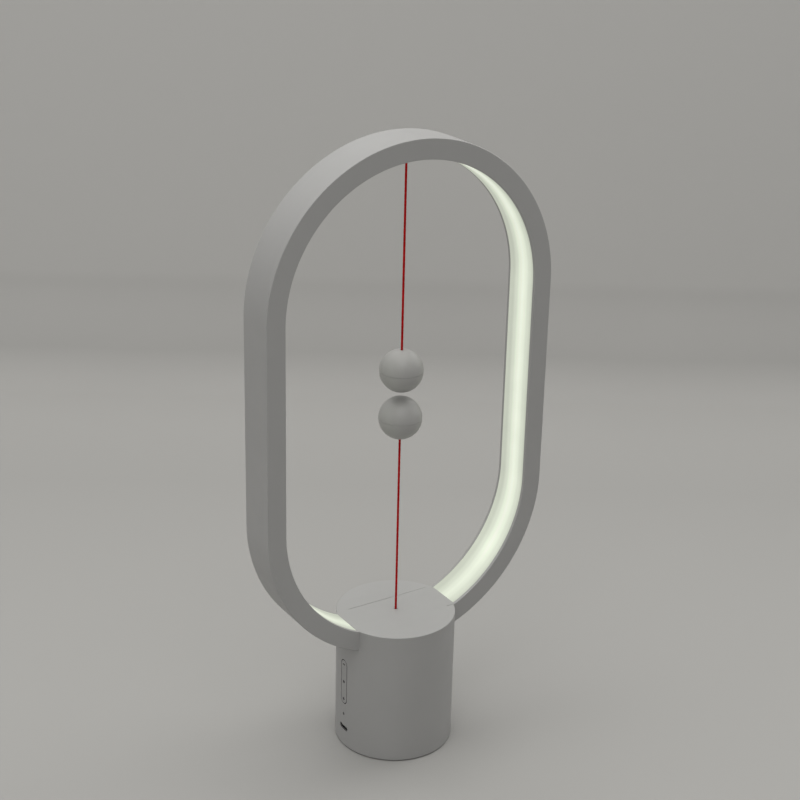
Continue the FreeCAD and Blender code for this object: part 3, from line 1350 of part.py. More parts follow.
def charging_port():
    """The charging port: a drawn shell with its tongue, standing on the charging board."""
    body = new_body("charging_port")
    mouth = "port_inset - base_radius"
    half = "(port_width - port_tall) / 2"
    outside = new_sketch(body, "port_outside", "YZ", mouth)
    pill(outside, "port_tall / 2", f"-{half}", "port_height", half, "port_height")
    pad(body, "port_pad", outside, "port_depth")
    inside = new_sketch(body, "port_inside", "YZ", mouth)
    pill(inside, "port_tall / 2 - port_wall", f"-{half}", "port_height", half, "port_height")
    pocket(body, "port_inside_cut", inside, "port_depth - port_back", "back")
    tongue = new_sketch(body, "port_tongue", "YZ", f"{mouth} + tongue_inset")
    side, tall = "tongue_width / 2", "tongue_wall / 2"
    rectangle(tongue, f"-{side}", f"port_height - {tall}", side, f"port_height + {tall}")
    pad(body, "port_tongue_pad", tongue, "port_depth - tongue_inset - port_back / 2")


def ballast():
    whole = rod("ballast_disc", "ballast_radius", "ballast_height", z="cover_top")
    flat = block("ballast_side", ("-base_diameter", "-ballast_flat"),
                 ("-base_diameter", "base_diameter"), ("0", "base_height"))
    taps = [
        rod(f"ballast_tap_{n}", "ballast_tap", "tap_depth + spare", x, y, "ballast_top - tap_depth")
        for n, (x, y) in enumerate(both_sides("holder_screw_x", "holder_screw_y"), 1)
    ]
    named("ballast_weight", cut("ballast_weight", whole, flat, *taps))


def battery():
    """The round cell with its crimp, and the holder that carries it on the ballast."""
    body = new_body("battery_cell")
    section = new_sketch(body, "cell_section", "XZ")
    top = "cell_low + cell_height"
    crimp = f"{top} - crimp_drop"
    outline(section, [
        ("0", "cell_low"),
        ("cell_radius", "cell_low"),
        ("cell_radius", f"{crimp} - crimp_half"),
        ("cell_radius - crimp_depth", crimp),
        ("cell_radius", f"{crimp} + crimp_half"),
        ("cell_radius", top),
        ("pole_radius", top),
        ("pole_radius", f"{top} + pole_height"),
        ("0", f"{top} + pole_height"),
    ])
    turned(body, "cell_turn", section)
    body.setExpression("Placement.Base.x", bound("cell_x"))
    outer = "(holder_inner + holder_wall)"
    cup = rod("holder_cup", outer, "holder_height", "cell_x", "0", "ballast_top")
    reach = "holder_screw_y + holder_lug"
    plate = block("holder_plate", ("holder_screw_x - holder_lug", "cell_x"),
                  (f"-({reach})", reach), ("ballast_top", "ballast_top + holder_floor"))
    bore = rod("holder_bore", "holder_inner", "holder_height", "cell_x", "0", "cell_low")
    mouth = block("holder_mouth_cut", ("cell_x", "cell_x + base_radius"),
                  ("-holder_mouth / 2", "holder_mouth / 2"),
                  ("cell_low", "cell_low + holder_height"))
    places = both_sides("holder_screw_x", "holder_screw_y")
    holes = [
        rod(f"holder_hole_{n}", "holder_hole", "holder_floor + 2 * spare", x, y,
            "ballast_top - spare")
        for n, (x, y) in enumerate(places, 1)
    ]
    whole = joined("holder_whole", cup, plate)
    named("battery_holder", cut("battery_holder", whole, bore, mouth, *holes))
    down_screws("holder_screws", places, "ballast_top + holder_floor")


def fasteners():
    """The screws of the base's cover, the ring's bridge plate and the switch frame."""
    corners = [(a + "post_corner", b + "post_corner") for a in ("", "-") for b in ("", "-")]
    screws("cover_screws", corners, "foot_height + head_inset")
    sides = [("bridge_screw_x", "0"), ("-bridge_screw_x", "0")]
    screws("bridge_screws", sides, "cradle_low + head_inset")
    frame_places = [("frame_screw_back", "0"), ("-frame_screw_front", "0")]
    head_height = SCREWS["frame_screws"][1]
    screws("frame_screws", frame_places, f"cradle_low - frame_top - {head_height}")


def leads():
    """The light tape's lead and the battery's lead, each a sheathed pair."""
    down_x, down_y = "-lead_hole_x", "lead_hole_y"
    tape_end = "low_centre - sqrt(wall_inner ^ 2 - tape_finish ^ 2) + 2.2"
    lead("light_lead", "lead_radius", [
        ("-tape_finish + 1", "5", tape_end),
        ("-tape_finish + 8", "7.5", "ring_bottom + 5.6"),
        (down_x, down_y, "ring_bottom + 4.6"),
        (down_x, down_y, "cradle_low - 7"),
        ("socket_front + 5", "light_socket_y", "light_socket_z"),
        ("socket_front", "light_socket_y", "light_socket_z"),
    ])
    lead("light_link", "lead_radius", [
        ("-tape_finish + 1", "-6.5", tape_end),
        ("-12", "-7", "ring_bottom + 4"),
        ("12", "-7", "ring_bottom + 4"),
        ("tape_finish - 1", "-6.5", tape_end),
    ])
    cup = "cell_x - holder_inner - holder_wall - spring_gap"
    lead("battery_lead", "lead_radius", [
        (cup, "0", "cell_low + 6"),
        (f"{cup} - 6", "0", "cell_low + 6"),
        ("-3", "-8", "cell_low + 10"),
        ("socket_front + 7", "-cell_socket_y", "cell_socket_z"),
        ("socket_front", "-cell_socket_y", "cell_socket_z"),
    ])


# ------------------------------------------------------------------------------ build and write

ring_shell()
ring_back_cover()
diffuser()
for tape_side, word in ((1, "right"), (-1, "left")):
    light_tape(f"light_tape_{word}", tape_side)
    light_chips(f"light_chips_{word}", tape_side)
string_anchor()
upper_line()
lower_line()
balls()
base_shell()
bridge_plate()
string_bush()
base_cover()
foot()
switch_frame()
pull_slider()
return_spring()
micro_switch()
boards()
tact_switches()
key_strip()
key_plate()
indicator()
charging_port()
ballast()
battery()
fasteners()
leads()
doc.recompute()

FAULTS = [o.Name for o in doc.Objects if {"Invalid", "Error"} & set(o.State)]
FAULTS += [node for node, part in PARTS.items() if part.Shape.isNull() or not part.Shape.isValid()]
if FAULTS:
    raise RuntimeError(f"these objects failed: {FAULTS}")

os.makedirs("parts", exist_ok=True)
for node, part in PARTS.items():
    part.Shape.exportStep(os.path.join("parts", node + ".step"))
print(len(PARTS), "parts written")
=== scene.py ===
"""Visible pieces, finishes and studio of a magnetic balance lamp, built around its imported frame.

Lengths are in metres, in the frame's own axes: +X along the ring's width, -Y the front, +Z up.
"""

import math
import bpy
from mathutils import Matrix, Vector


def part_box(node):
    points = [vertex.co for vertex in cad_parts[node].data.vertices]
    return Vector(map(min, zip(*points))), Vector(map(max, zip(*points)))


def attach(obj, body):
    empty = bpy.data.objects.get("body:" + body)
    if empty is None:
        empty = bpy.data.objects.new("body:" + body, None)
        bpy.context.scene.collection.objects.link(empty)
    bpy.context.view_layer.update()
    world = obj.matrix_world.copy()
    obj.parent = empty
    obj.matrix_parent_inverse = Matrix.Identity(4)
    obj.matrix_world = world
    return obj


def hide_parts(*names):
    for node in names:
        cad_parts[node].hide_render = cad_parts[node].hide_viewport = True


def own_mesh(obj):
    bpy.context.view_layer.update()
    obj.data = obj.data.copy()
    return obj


bl_info = {
    "name": "Magnetic Balance Lamp",
    "version": (1, 0, 0),
    "blender": (4, 5, 0),
    "location": "3D View > Sidebar > Lamp",
    "description": "Builds the lamp's visible pieces and its studio around the packed frame",
    "category": "Object",
}

import bmesh
import bpy
from bpy.props import FloatProperty, FloatVectorProperty, IntProperty, PointerProperty
from mathutils import Matrix, Vector

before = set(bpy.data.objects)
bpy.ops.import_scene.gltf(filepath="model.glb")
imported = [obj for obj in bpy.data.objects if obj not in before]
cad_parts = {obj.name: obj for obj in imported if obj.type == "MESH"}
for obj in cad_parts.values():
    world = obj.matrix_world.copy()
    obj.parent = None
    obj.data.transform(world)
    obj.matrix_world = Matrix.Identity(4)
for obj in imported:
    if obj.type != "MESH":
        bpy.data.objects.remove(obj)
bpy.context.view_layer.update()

SHELL_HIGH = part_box("ring_shell")[1]
PLATE_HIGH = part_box("bridge_plate")[1]
BASE_LOW, BASE_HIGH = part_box("base_shell")
BAND_LOW, BAND_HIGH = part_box("diffuser")

MM = 0.001
MERGE = 1e-7  # points closer than this are one point
LARGE_ROUND = 512  # sides of the cutters that follow the ring
SMALL_ROUND = 32  # sides of the smallest cutters
EASED_STEPS = 2  # faces across a rounded edge
EASED_TURN = math.radians(35)  # edges that turn further than this are rounded
WALL_LEAN = 0.2  # largest upward share of a face normal on an upright wall
WALL_TOLERANCE = 0.02 * MM
WALL_TURN = math.radians(30)  # normals within this turn of the wall's own are replaced
STRING_STEP = 0.00022  # distance between the rings of points along a string
BRAID_SIDES = 24
BRAID_PITCH = 0.0042  # length in which a strand winds once round
BRAID_STRANDS = 4  # strands that wind each way
BRAID_LOW, BRAID_RISE = 0.96, 0.08  # hollow and rise of a strand, as shares of the radius
NOISE_LOW, NOISE_HIGH = 0.3, 0.7  # between these lies nearly all of a noise's output
# Painted shade: near-black for what lies deep in seams and openings; in the key's engraved marks
# it also stands for their dark fill.
PAINTED_SHADE_AND_FILL = (0.006, 0.006, 0.006, 1)  # inside of seams and engraved marks
SENSOR = 36  # width of the camera's sensor in millimetres
ROOM_TINT = (1.0, 0.99, 0.965, 1)
LIGHT_TINT = (1.0, 0.992, 0.97)
AIM = Vector((0, 0, 0.2))  # point that every softbox faces


# ------------------------------------------------------------------------------ settings


def length(name, words, metres):
    """A length property with its default in metres."""
    return FloatProperty(name=name, description=words, default=metres, unit="LENGTH", precision=5)


def colour(name, words, shade):
    """A colour property with its default in linear values."""
    return FloatVectorProperty(
        name=name, description=words, default=shade, size=3, min=0, max=1, subtype="COLOR"
    )


def amount(name, words, value, unit="NONE"):
    """A number property, with a unit if it has one."""
    return FloatProperty(name=name, description=words, default=value, unit=unit)


class LampSizes(bpy.types.PropertyGroup):
    """Sizes of the visible pieces that the frame's boxes don't give."""

    ring_band: length("Ring band", "Thickness of the ring from outside to inside", 0.0126)
    ring_height: length("Ring height", "Outside height of the ring", 0.3317)
    ring_wall: length("Ring wall", "Thickness of the ring's outer wall", 0.0018)
    ring_face: length("Ring face", "Thickness of the ring's front plate and cover", 0.002)
    cover_gap: length("Cover gap", "Gap around the ring's back cover", 0.0001)
    edge: length("Edge", "Rounding of the ring's and the base's edges", 0.00045)
    fine_edge: length("Fine edge", "Rounding of edges at seams", 0.00018)
    diffuser_wall: length("Diffuser wall", "Thickness of the diffuser", 0.0016)
    glow_shift: length("Glow shift", "Brightest line's distance before the band's middle", 0.002)
    ceiling_hole: length("Ceiling hole", "Radius of the diffuser's hole for the string", 0.0027)
    slot_front: length("Front gap", "Gap between the ring's front and its slot", 0.00002)
    slot_rear: length("Rear seam", "Gap between the ring's back and its slot", 0.0002)
    slot_end: length("Front seam", "Gap before the right end of the plate", 0.00032)
    base_wall: length("Base wall", "Wall of the base", 0.0024)
    cavity_top: length("Cavity top", "Height of the hollow inside the base", 0.066)
    plate_skin: length("Plate skin", "Thickness of the plate between the ring's ends", 0.0022)
    plate_gap: length("Plate gap", "Gap between that plate and the ring", 0.00002)
    plate_over: length("Plate reach", "Reach of that plate past its node's ends", 0.00064)
    seam_left: length("Seam left", "Left end of the plate's rear seam", -0.027)
    seam_right: length("Seam right", "Right end of the plate's rear seam", 0.032)
    seam_front: length("Seam front", "Left end of the plate's short front seam", 0.0302)
    string_hole: length("String hole", "Radius of the base's hole for the string", 0.0011)
    key_centre: length("Key centre", "Height of the middle of the keys", 0.04775)
    key_length: length("Key length", "Length of the key opening", 0.0325)
    key_width: length("Key width", "Width of the key opening", 0.0072)
    key_gap: length("Key gap", "Gap around the key strip", 0.00045)
    key_mark: length("Key mark", "Depth of the marks in the key strip", 0.0005)
    mark_space: length("Mark space", "Distance from one key mark to the next", 0.01275)
    mark_line: length("Mark line", "Width of a mark's line", 0.0007)
    mark_length: length("Mark length", "Length of a mark's line", 0.0026)
    mark_dot: length("Mark dot", "Radius of the middle mark", 0.001)
    # Painted shade: seams and openings deeper than this turn dark; the key's engraved marks turn
    # dark too, which also stands for their dark fill.
    recess: length("Recess", "Depth at which seams and marks turn dark", 0.00012)
    pilot_height: length("Pilot height", "Height of the indicator light", 0.0238)
    pilot_hole: length("Pilot hole", "Radius of the indicator's hole", 0.001)
    port_height: length("Port height", "Height of the charging port", 0.0139)
    port_width: length("Port width", "Width of the charging port's opening", 0.0094)
    port_tall: length("Port tall", "Height of the charging port's opening", 0.0036)
    string: length("String", "Diameter of the string", 0.0014)
    ball: length("Ball", "Diameter of a ball", 0.0272)
    ball_wall: length("Ball wall", "Wall of a ball", 0.002)
    seam: length("Seam", "Depth of the seam around a ball", 0.00018)
    seam_width: length("Seam width", "Width of the seam around a ball", 0.00022)


class LampColours(bpy.types.PropertyGroup):
    """Colours of the lamp's finishes."""

    shell: colour("Shell", "Moulded housing of the ring and the base", (0.364, 0.363, 0.360))
    ball: colour("Ball", "Satin shell of the balls", (0.360, 0.357, 0.350))
    glow: colour("Glow", "Light that leaves the diffuser", (0.814, 0.871, 0.732))
    string: colour("String", "Braided string", (0.37, 0.002, 0.003))
    floor: colour("Floor", "Studio floor", (0.384, 0.380, 0.370))
    wall: colour("Wall", "Studio backdrop", (0.55, 0.546, 0.535))


class LampStudio(bpy.types.PropertyGroup):
    """The camera and the lights."""

    camera_x: length("Camera X", "Camera's place along X", -0.52071)
    camera_y: length("Camera Y", "Camera's place along Y", -0.81167)
    camera_z: length("Camera Z", "Camera's height", 0.62971)
    yaw: amount("Yaw", "Camera's turn to the right", 0.569966, "ROTATION")
    pitch: amount("Pitch", "Camera's tilt downwards", 0.387511, "ROTATION")
    roll: amount("Roll", "Camera's turn about its own axis", 0.023661, "ROTATION")
    lens: amount("Lens", "Focal length on a 36 mm sensor", 76.391, "CAMERA")
    top_light: amount("Top light", "Power of the top softbox", 29.5)
    back_light: amount("Back light", "Power of the back softbox", 22)
    left_light: amount("Left light", "Power of the left softbox", 10.6)
    right_light: amount("Right light", "Power of the right softbox", 30)
    front_light: amount("Front light", "Power of the front softbox", 24.5)
    ambient: amount("Ambient", "Strength of the room's light", 0.209)
    steps: IntProperty(name="Steps", description="Sides of a full round", default=192, min=24)


def sizes():
    """The scene's LampSizes."""
    return bpy.context.scene.lamp_sizes


def colours():
    """The scene's LampColours."""
    return bpy.context.scene.lamp_colours


def studio():
    """The scene's LampStudio."""
    return bpy.context.scene.lamp_studio


# ------------------------------------------------------------------------------ mesh tools


def rounded(corners, steps=4):
    """A closed outline with its corners rounded. A corner is (x, y, radius)."""
    outline = []
    for number, (x, y, radius) in enumerate(corners):
        here = Vector((x, y))
        if radius <= 0:
            outline.append(here)
            continue
        before = Vector(corners[number - 1][:2]) - here
        after = Vector(corners[(number + 1) % len(corners)][:2]) - here
        half = before.angle(after) / 2
        before.normalize()
        after.normalize()
        reach = radius / math.tan(half)
        middle = (before + after).normalized() * (radius / math.sin(half)) + here
        start = here + before * reach - middle
        end = here + after * reach - middle
        turn = start.angle_signed(end)
        for step in range(steps + 1):
            outline.append(middle + Matrix.Rotation(-turn * step / steps, 2) @ start)
    return outline


def cleaned(mesh):
    """A mesh opened for editing, its double points merged and its faces turned outwards."""
    work = bmesh.new()
    work.from_mesh(mesh)
    bmesh.ops.remove_doubles(work, verts=work.verts, dist=MERGE)
    bmesh.ops.recalc_face_normals(work, faces=work.faces)
    return work


def mesh_object(name, points, faces):
    """A new object with a clean mesh of the given points and faces."""
    mesh = bpy.data.meshes.new(name)
    mesh.from_pydata([tuple(p) for p in points], [], faces)
    mesh.update()
    made = bpy.data.objects.new(name, mesh)
    bpy.context.scene.collection.objects.link(made)
    work = cleaned(mesh)
    work.to_mesh(mesh)
    work.free()
    return made


def grid_faces(rows, columns, round_rows=True, round_columns=True):
    """Four-sided faces of a grid of points, closed on itself where it is said to be round."""
    faces = []
    for row in range(rows if round_rows else rows - 1):
        after = (row + 1) % rows
        for column in range(columns if round_columns else columns - 1):
            beside = (column + 1) % columns
            faces.append((
                row * columns + column,
                row * columns + beside,
                after * columns + beside,
                after * columns + column,
            ))
    return faces


def low_centre():
    """Height of the centre of the ring's lower round."""
    return SHELL_HIGH.z + SHELL_HIGH.x - sizes().ring_height


def oval_stations(steps, open_angle=0.0):
    """Places along the ring's oval: each is (height of the round's centre, direction in XZ).

    An open angle leaves out that much on each side of the lowest point.
    """
    high, low = SHELL_HIGH.z - SHELL_HIGH.x, low_centre()
    half, quarter = steps // 2, steps // 4
    start = -math.pi / 2 + open_angle
    stations = []
    for step in range(quarter + 1):
        stations.append((low, start - start * step / quarter))
    for step in range(half + 1):
        stations.append((high, math.pi * step / half))
    for step in range(quarter + 1):
        stations.append((low, math.pi + (math.pi / 2 - open_angle) * step / quarter))
    if not open_angle:
        stations.pop()
    return [(centre, Vector((math.cos(turn), math.sin(turn)))) for centre, turn in stations]


def sweep_oval(name, section, open_angle=0.0):
    """A section of (radius, y) points carried round the ring's oval."""
    stations = oval_stations(studio().steps, open_angle)
    points = [
        Vector((radius * way.x, y, centre + radius * way.y))
        for centre, way in stations
        for radius, y in section
    ]
    faces = grid_faces(len(stations), len(section), round_rows=not open_angle)
    if open_angle:
        faces.append(tuple(range(len(section))))
        faces.append(tuple(range(len(points) - 1, len(points) - 1 - len(section), -1)))
    return mesh_object(name, points, faces)


def turned(name, profile):
    """A closed profile of (radius, height) points turned about the upright axis.

    Points on the axis stay single.
    """
    steps = studio().steps
    points, rings = [], []
    for radius, height in profile:
        if radius < MERGE:
            rings.append([len(points)] * steps)
            points.append((0, 0, height))
            continue
        rings.append(list(range(len(points), len(points) + steps)))
        for step in range(steps):
            turn = 2 * math.pi * step / steps
            points.append((radius * math.cos(turn), radius * math.sin(turn), height))
    faces = []
    for number, ring in enumerate(rings):
        after = rings[(number + 1) % len(rings)]
        for step in range(steps):
            beside = (step + 1) % steps
            corners = dict.fromkeys((ring[step], ring[beside], after[beside], after[step]))
            if len(corners) > 2:
                faces.append(tuple(corners))
    return mesh_object(name, points, faces)


def prism(name, outline, low, high, axis):
    """An outline pushed along an axis. It lies in YZ for X, XZ for Y and XY for Z."""
    placed = {
        "X": lambda a, b, depth: (depth, a, b),
        "Y": lambda a, b, depth: (a, depth, b),
        "Z": lambda a, b, depth: (a, b, depth),
    }[axis]
    count = len(outline)
    points = [placed(a, b, depth) for depth in (low, high) for a, b in outline]
    faces = grid_faces(2, count, round_rows=False)
    faces += [tuple(range(count)), tuple(range(2 * count - 1, count - 1, -1))]
    return mesh_object(name, points, faces)


def pill_outline(radius, half, centre, upright, steps=24):
    """A round-ended slot around a centre, long upwards or sideways.

    Its straight part reaches half to each side of the centre.
    """
    outline = []
    for side in (0, 1):
        for step in range(steps + 1):
            turn = math.pi * (side + step / steps)
            along = half if side == 0 else -half
            a, b = radius * math.cos(turn), radius * math.sin(turn) + along
            if not upright:
                a, b = b, -a
            outline.append((centre[0] + a, centre[1] + b))
    return outline


def box_outline(left, right, bottom, top):
    """Corners of an upright oblong."""
    return [(left, bottom), (right, bottom), (right, top), (left, top)]


def circle_outline(radius, centre=(0, 0), steps=48):
    """Points of a circle around a centre."""
    turns = [2 * math.pi * step / steps for step in range(steps)]
    return [(centre[0] + radius * math.cos(t), centre[1] + radius * math.sin(t)) for t in turns]


def combine(piece, shape, operation):
    """Applies a boolean of a piece with a shape, and removes the shape."""
    change = piece.modifiers.new("cut", "BOOLEAN")
    change.operation = operation
    change.solver = "EXACT"
    change.object = shape
    apply_changes(piece)
    old = shape.data
    bpy.data.objects.remove(shape)
    bpy.data.meshes.remove(old)


def cut_with(piece, *cutters):
    """Cuts each cutter out of a piece."""
    for cutter in cutters:
        combine(piece, cutter, "DIFFERENCE")


def keep_within(piece, shape):
    """Keeps what lies inside a shape."""
    combine(piece, shape, "INTERSECT")


def apply_changes(piece):
    """Turns a piece's modifiers into its mesh."""
    view = bpy.context.evaluated_depsgraph_get()
    mesh = bpy.data.meshes.new_from_object(piece.evaluated_get(view))
    piece.modifiers.clear()
    old, piece.data = piece.data, mesh
    bpy.data.meshes.remove(old)


def ease_edges(piece, width, chosen=None):
    """Rounds sharp edges: all, or those whose middle point is chosen."""
    work = cleaned(piece.data)
    sharp = []
    for edge in work.edges:
        middle = (edge.verts[0].co + edge.verts[1].co) / 2
        if chosen and not chosen(middle):
            continue
        if edge.is_manifold and edge.calc_face_angle() > EASED_TURN:
            sharp.append(edge)
    bmesh.ops.bevel(
        work, geom=sharp, offset=width, segments=EASED_STEPS, profile=0.5, affect="EDGES",
        clamp_overlap=True,
    )
    work.to_mesh(piece.data)
    work.free()


def even_out(piece, radius=None):
    """Keeps flat faces flat beside their rounded edges, and an upright round wall truly round."""
    change = piece.modifiers.new("flat_faces", "WEIGHTED_NORMAL")
    change.keep_sharp = True
    apply_changes(piece)
    if not radius:
        return
    mesh = piece.data
    on_wall = set()
    for face in mesh.polygons:
        away = [abs(mesh.vertices[number].co.xy.length - radius) for number in face.vertices]
        if abs(face.normal.z) < WALL_LEAN and max(away) < WALL_TOLERANCE:
            on_wall.update(face.vertices)
    normals = [corner.vector.copy() for corner in mesh.corner_normals]
    for number, loop in enumerate(mesh.loops):
        if loop.vertex_index in on_wall:
            place = mesh.vertices[loop.vertex_index].co
            outwards = Vector((place.x, place.y, 0)).normalized()
            if normals[number].angle(outwards) < WALL_TURN:
                normals[number] = outwards
    mesh.normals_split_custom_set([tuple(normal) for normal in normals])


def finish_piece(piece, material, body, *replaced, slot, angle=40, radius=None, even=False):
    """Shades a piece, gives it its finish, and ties it to its body."""
    piece.data.materials.clear()
    piece.data.materials.append(material)
    piece.data.shade_smooth()
    piece.data.set_sharp_from_angle(angle=math.radians(angle))
    if even:
        even_out(piece, radius)
    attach(piece, body)
    if replaced:
        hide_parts(*replaced)
    return piece


# ------------------------------------------------------------------------------ finishes


class Finish:
    """A material's node tree, with short ways to add to it."""

    def __init__(self, name):
        self.material = bpy.data.materials.new(name)
        self.material.use_nodes = True
        self.nodes = self.material.node_tree.nodes
        self.links = self.material.node_tree.links
        self.shader = self.nodes["Principled BSDF"]
        self.place = self.nodes.new("ShaderNodeTexCoord").outputs["Object"]

    def node(self, kind, **settings):
        """Adds a shader node of a kind, with its settings."""
        made = self.nodes.new("ShaderNode" + kind)
        for key, value in settings.items():
            setattr(made, key, value)
        return made

    def join(self, source, target):
        """Links an output to an input."""
        self.links.new(source, target)

    def stretched(self, scale):
        """The object's coordinates, scaled along each axis."""
        mapping = self.node("Mapping")
        mapping.inputs["Scale"].default_value = scale
        self.join(self.place, mapping.inputs["Vector"])
        return mapping.outputs["Vector"]

    def split_place(self):
        """Outputs X, Y and Z of the object's coordinates."""
        split = self.node("SeparateXYZ")
        self.join(self.place, split.inputs["Vector"])
        return split.outputs

    def noise(self, scale, detail=2.0, rough=0.5, source=None):
        """A noise texture's output. The scale is in waves per metre."""
        made = self.node("TexNoise")
        made.inputs["Scale"].default_value = scale
        made.inputs["Detail"].default_value = detail
        made.inputs["Roughness"].default_value = rough
        self.join(source or self.place, made.inputs["Vector"])
        return made.outputs["Fac"]

    def ranged(self, source, low, high, from_low=NOISE_LOW, from_high=NOISE_HIGH):
        """A value mapped from one range to another."""
        made = self.node("MapRange")
        made.inputs["From Min"].default_value = from_low
        made.inputs["From Max"].default_value = from_high
        made.inputs["To Min"].default_value = low
        made.inputs["To Max"].default_value = high
        self.join(source, made.inputs["Value"])
        return made.outputs["Result"]

    def shades(self, source, *stops, easing="LINEAR"):
        """A colour ramp. Each stop is (place on the ramp, shade)."""
        ramp = self.node("ValToRGB")
        ramp.color_ramp.interpolation = easing
        elements = ramp.color_ramp.elements
        while len(elements) < len(stops):
            elements.new(0.5)
        for element, (place, shade) in zip(elements, stops):
            element.position = place
            element.color = (*shade, 1)
        self.join(source, ramp.inputs["Fac"])
        return ramp.outputs["Color"]

    def calculate(self, kind, first, second=0):
        """A math node's output. Each operand is a number or an output."""
        made = self.node("Math", operation=kind)
        for number, value in enumerate((first, second)):
            if isinstance(value, (int, float)):
                made.inputs[number].default_value = value
            else:
                self.join(value, made.inputs[number])
        return made.outputs["Value"]

    def paint_shade_and_fill(self, shade, share):
        """A shade that turns nearly black where the share is one: painted shade deep in seams and
        openings, and the dark fill of engraved marks.
        """
        made = self.node("Mix", data_type="RGBA")
        self.join(share, made.inputs["Factor"])
        self.join(shade, made.inputs["A"])
        made.inputs["B"].default_value = PAINTED_SHADE_AND_FILL
        return made.outputs["Result"]

    def shade_and_fill_mask(self, radius, depth):
        """One where a point of a round upright wall lies deeper than the wall's face: the mask of
        the painted shade, and of the dark fill in engraved marks.
        """
        place = self.split_place()
        across = self.calculate("POWER", place["X"], 2)
        deep = self.calculate("POWER", place["Y"], 2)
        away = self.calculate("SQRT", self.calculate("ADD", across, deep))
        return self.ranged(away, 1, 0, radius - depth, radius - depth * 0.5)

    def bumps(self, *layers):
        """Each layer is (height source, depth in metres, strength)."""
        normal = None
        for source, depth, strength in layers:
            made = self.node("Bump")
            made.inputs["Distance"].default_value = depth
            made.inputs["Strength"].default_value = strength
            self.join(source, made.inputs["Height"])
            if normal:
                self.join(normal, made.inputs["Normal"])
            normal = made.outputs["Normal"]
        self.join(normal, self.shader.inputs["Normal"])

    def open_behind(self):
        """Lets a view from behind the paper look through it; the light still sees the paper."""
        behind = self.node("NewGeometry").outputs["Backfacing"]
        seen = self.node("LightPath").outputs["Is Camera Ray"]
        mixed = self.node("MixShader")
        self.join(self.calculate("MULTIPLY", behind, seen), mixed.inputs["Fac"])
        self.join(self.shader.outputs["BSDF"], mixed.inputs[1])
        self.join(self.node("BsdfTransparent").outputs["BSDF"], mixed.inputs[2])
        self.join(mixed.outputs["Shader"], self.nodes["Material Output"].inputs["Surface"])


def tone(shade, share):
    """A shade made lighter or darker by a share."""
    return tuple(min(1.0, channel * share) for channel in shade)


def moulded(name, shade, rough=0.5, grain=3200, depth=0.000012, drift=0.02, specular=0.5,
            recess=None):
    """Moulded plastic: spark-eroded grain, and slight drifts of shade and gloss.

    A recess is (radius of the wall, height up to which what lies under its face is dark with
    painted shade; in engraved marks the dark also stands for their fill).
    """
    made = Finish(name)
    flow = made.noise(scale=28, detail=3)
    specks = made.calculate("MULTIPLY", made.noise(scale=grain * 0.45), 0.35)
    surface = made.shades(
        made.calculate("ADD", flow, specks),
        (0.40, tone(shade, 1 - drift)), (0.85, tone(shade, 1 + drift)),
    )
    # Painted shade: below the given height, whatever lies deeper than the wall's face turns nearly
    # black.
    if recess:
        radius, top = recess
        below = made.ranged(made.split_place()["Z"], 1, 0, top - 0.5 * MM, top)
        share = made.calculate("MULTIPLY", made.shade_and_fill_mask(radius, sizes().recess), below)
        surface = made.paint_shade_and_fill(surface, share)
    made.join(surface, made.shader.inputs["Base Color"])
    made.join(
        made.ranged(made.noise(scale=90, detail=3), rough - 0.04, rough + 0.05),
        made.shader.inputs["Roughness"],
    )
    made.shader.inputs["Specular IOR Level"].default_value = specular
    pits, waves = made.noise(grain, detail=3, rough=0.6), made.noise(scale=55, detail=1)
    made.bumps((pits, depth, 0.35), (waves, 0.00004, 0.12))
    return made.material


def metal(name, shade, rough, along=(1, 1, 1), depth=0.000006):
    """Metal with fine drawn or turned lines that run along one axis."""
    made = Finish(name)
    lines = made.noise(scale=900, detail=3, rough=0.6, source=made.stretched(along))
    made.join(
        made.shades(lines, (NOISE_LOW, tone(shade, 0.9)), (NOISE_HIGH, tone(shade, 1.08))),
        made.shader.inputs["Base Color"],
    )
    made.join(made.ranged(lines, rough * 0.8, rough * 1.25), made.shader.inputs["Roughness"])
    made.shader.inputs["Metallic"].default_value = 1.0
    made.bumps((lines, depth, 0.4))
    return made.material


def rubber(name, shade, rough=0.75):
    """Dull rubber with dusty clouds and a coarse grain."""
    made = Finish(name)
    cloud = made.noise(scale=140, detail=4, rough=0.6)
    made.join(
        made.shades(cloud, (NOISE_LOW, tone(shade, 0.8)), (0.75, tone(shade, 1.35))),
        made.shader.inputs["Base Color"],
    )
    made.join(made.ranged(cloud, rough - 0.06, rough + 0.08), made.shader.inputs["Roughness"])
    made.shader.inputs["Specular IOR Level"].default_value = 0.3
    made.bumps((made.noise(scale=2600, detail=3, rough=0.6), 0.00003, 0.5))
    return made.material


def circuit(name):
    """Green solder resist with a faint pattern of tracks under it."""
    made = Finish(name)
    cells = made.node("TexVoronoi", feature="DISTANCE_TO_EDGE", distance="CHEBYCHEV")
    cells.inputs["Scale"].default_value = 420
    made.join(made.place, cells.inputs["Vector"])
    tracks = cells.outputs["Distance"]
    copper, resist = (0.05, 0.24, 0.10), (0.02, 0.13, 0.05)
    made.join(
        made.shades(tracks, (0.05, copper), (0.10, resist)), made.shader.inputs["Base Color"]
    )
    made.shader.inputs["Roughness"].default_value = 0.32
    made.bumps((tracks, 0.00003, 0.3))
    return made.material


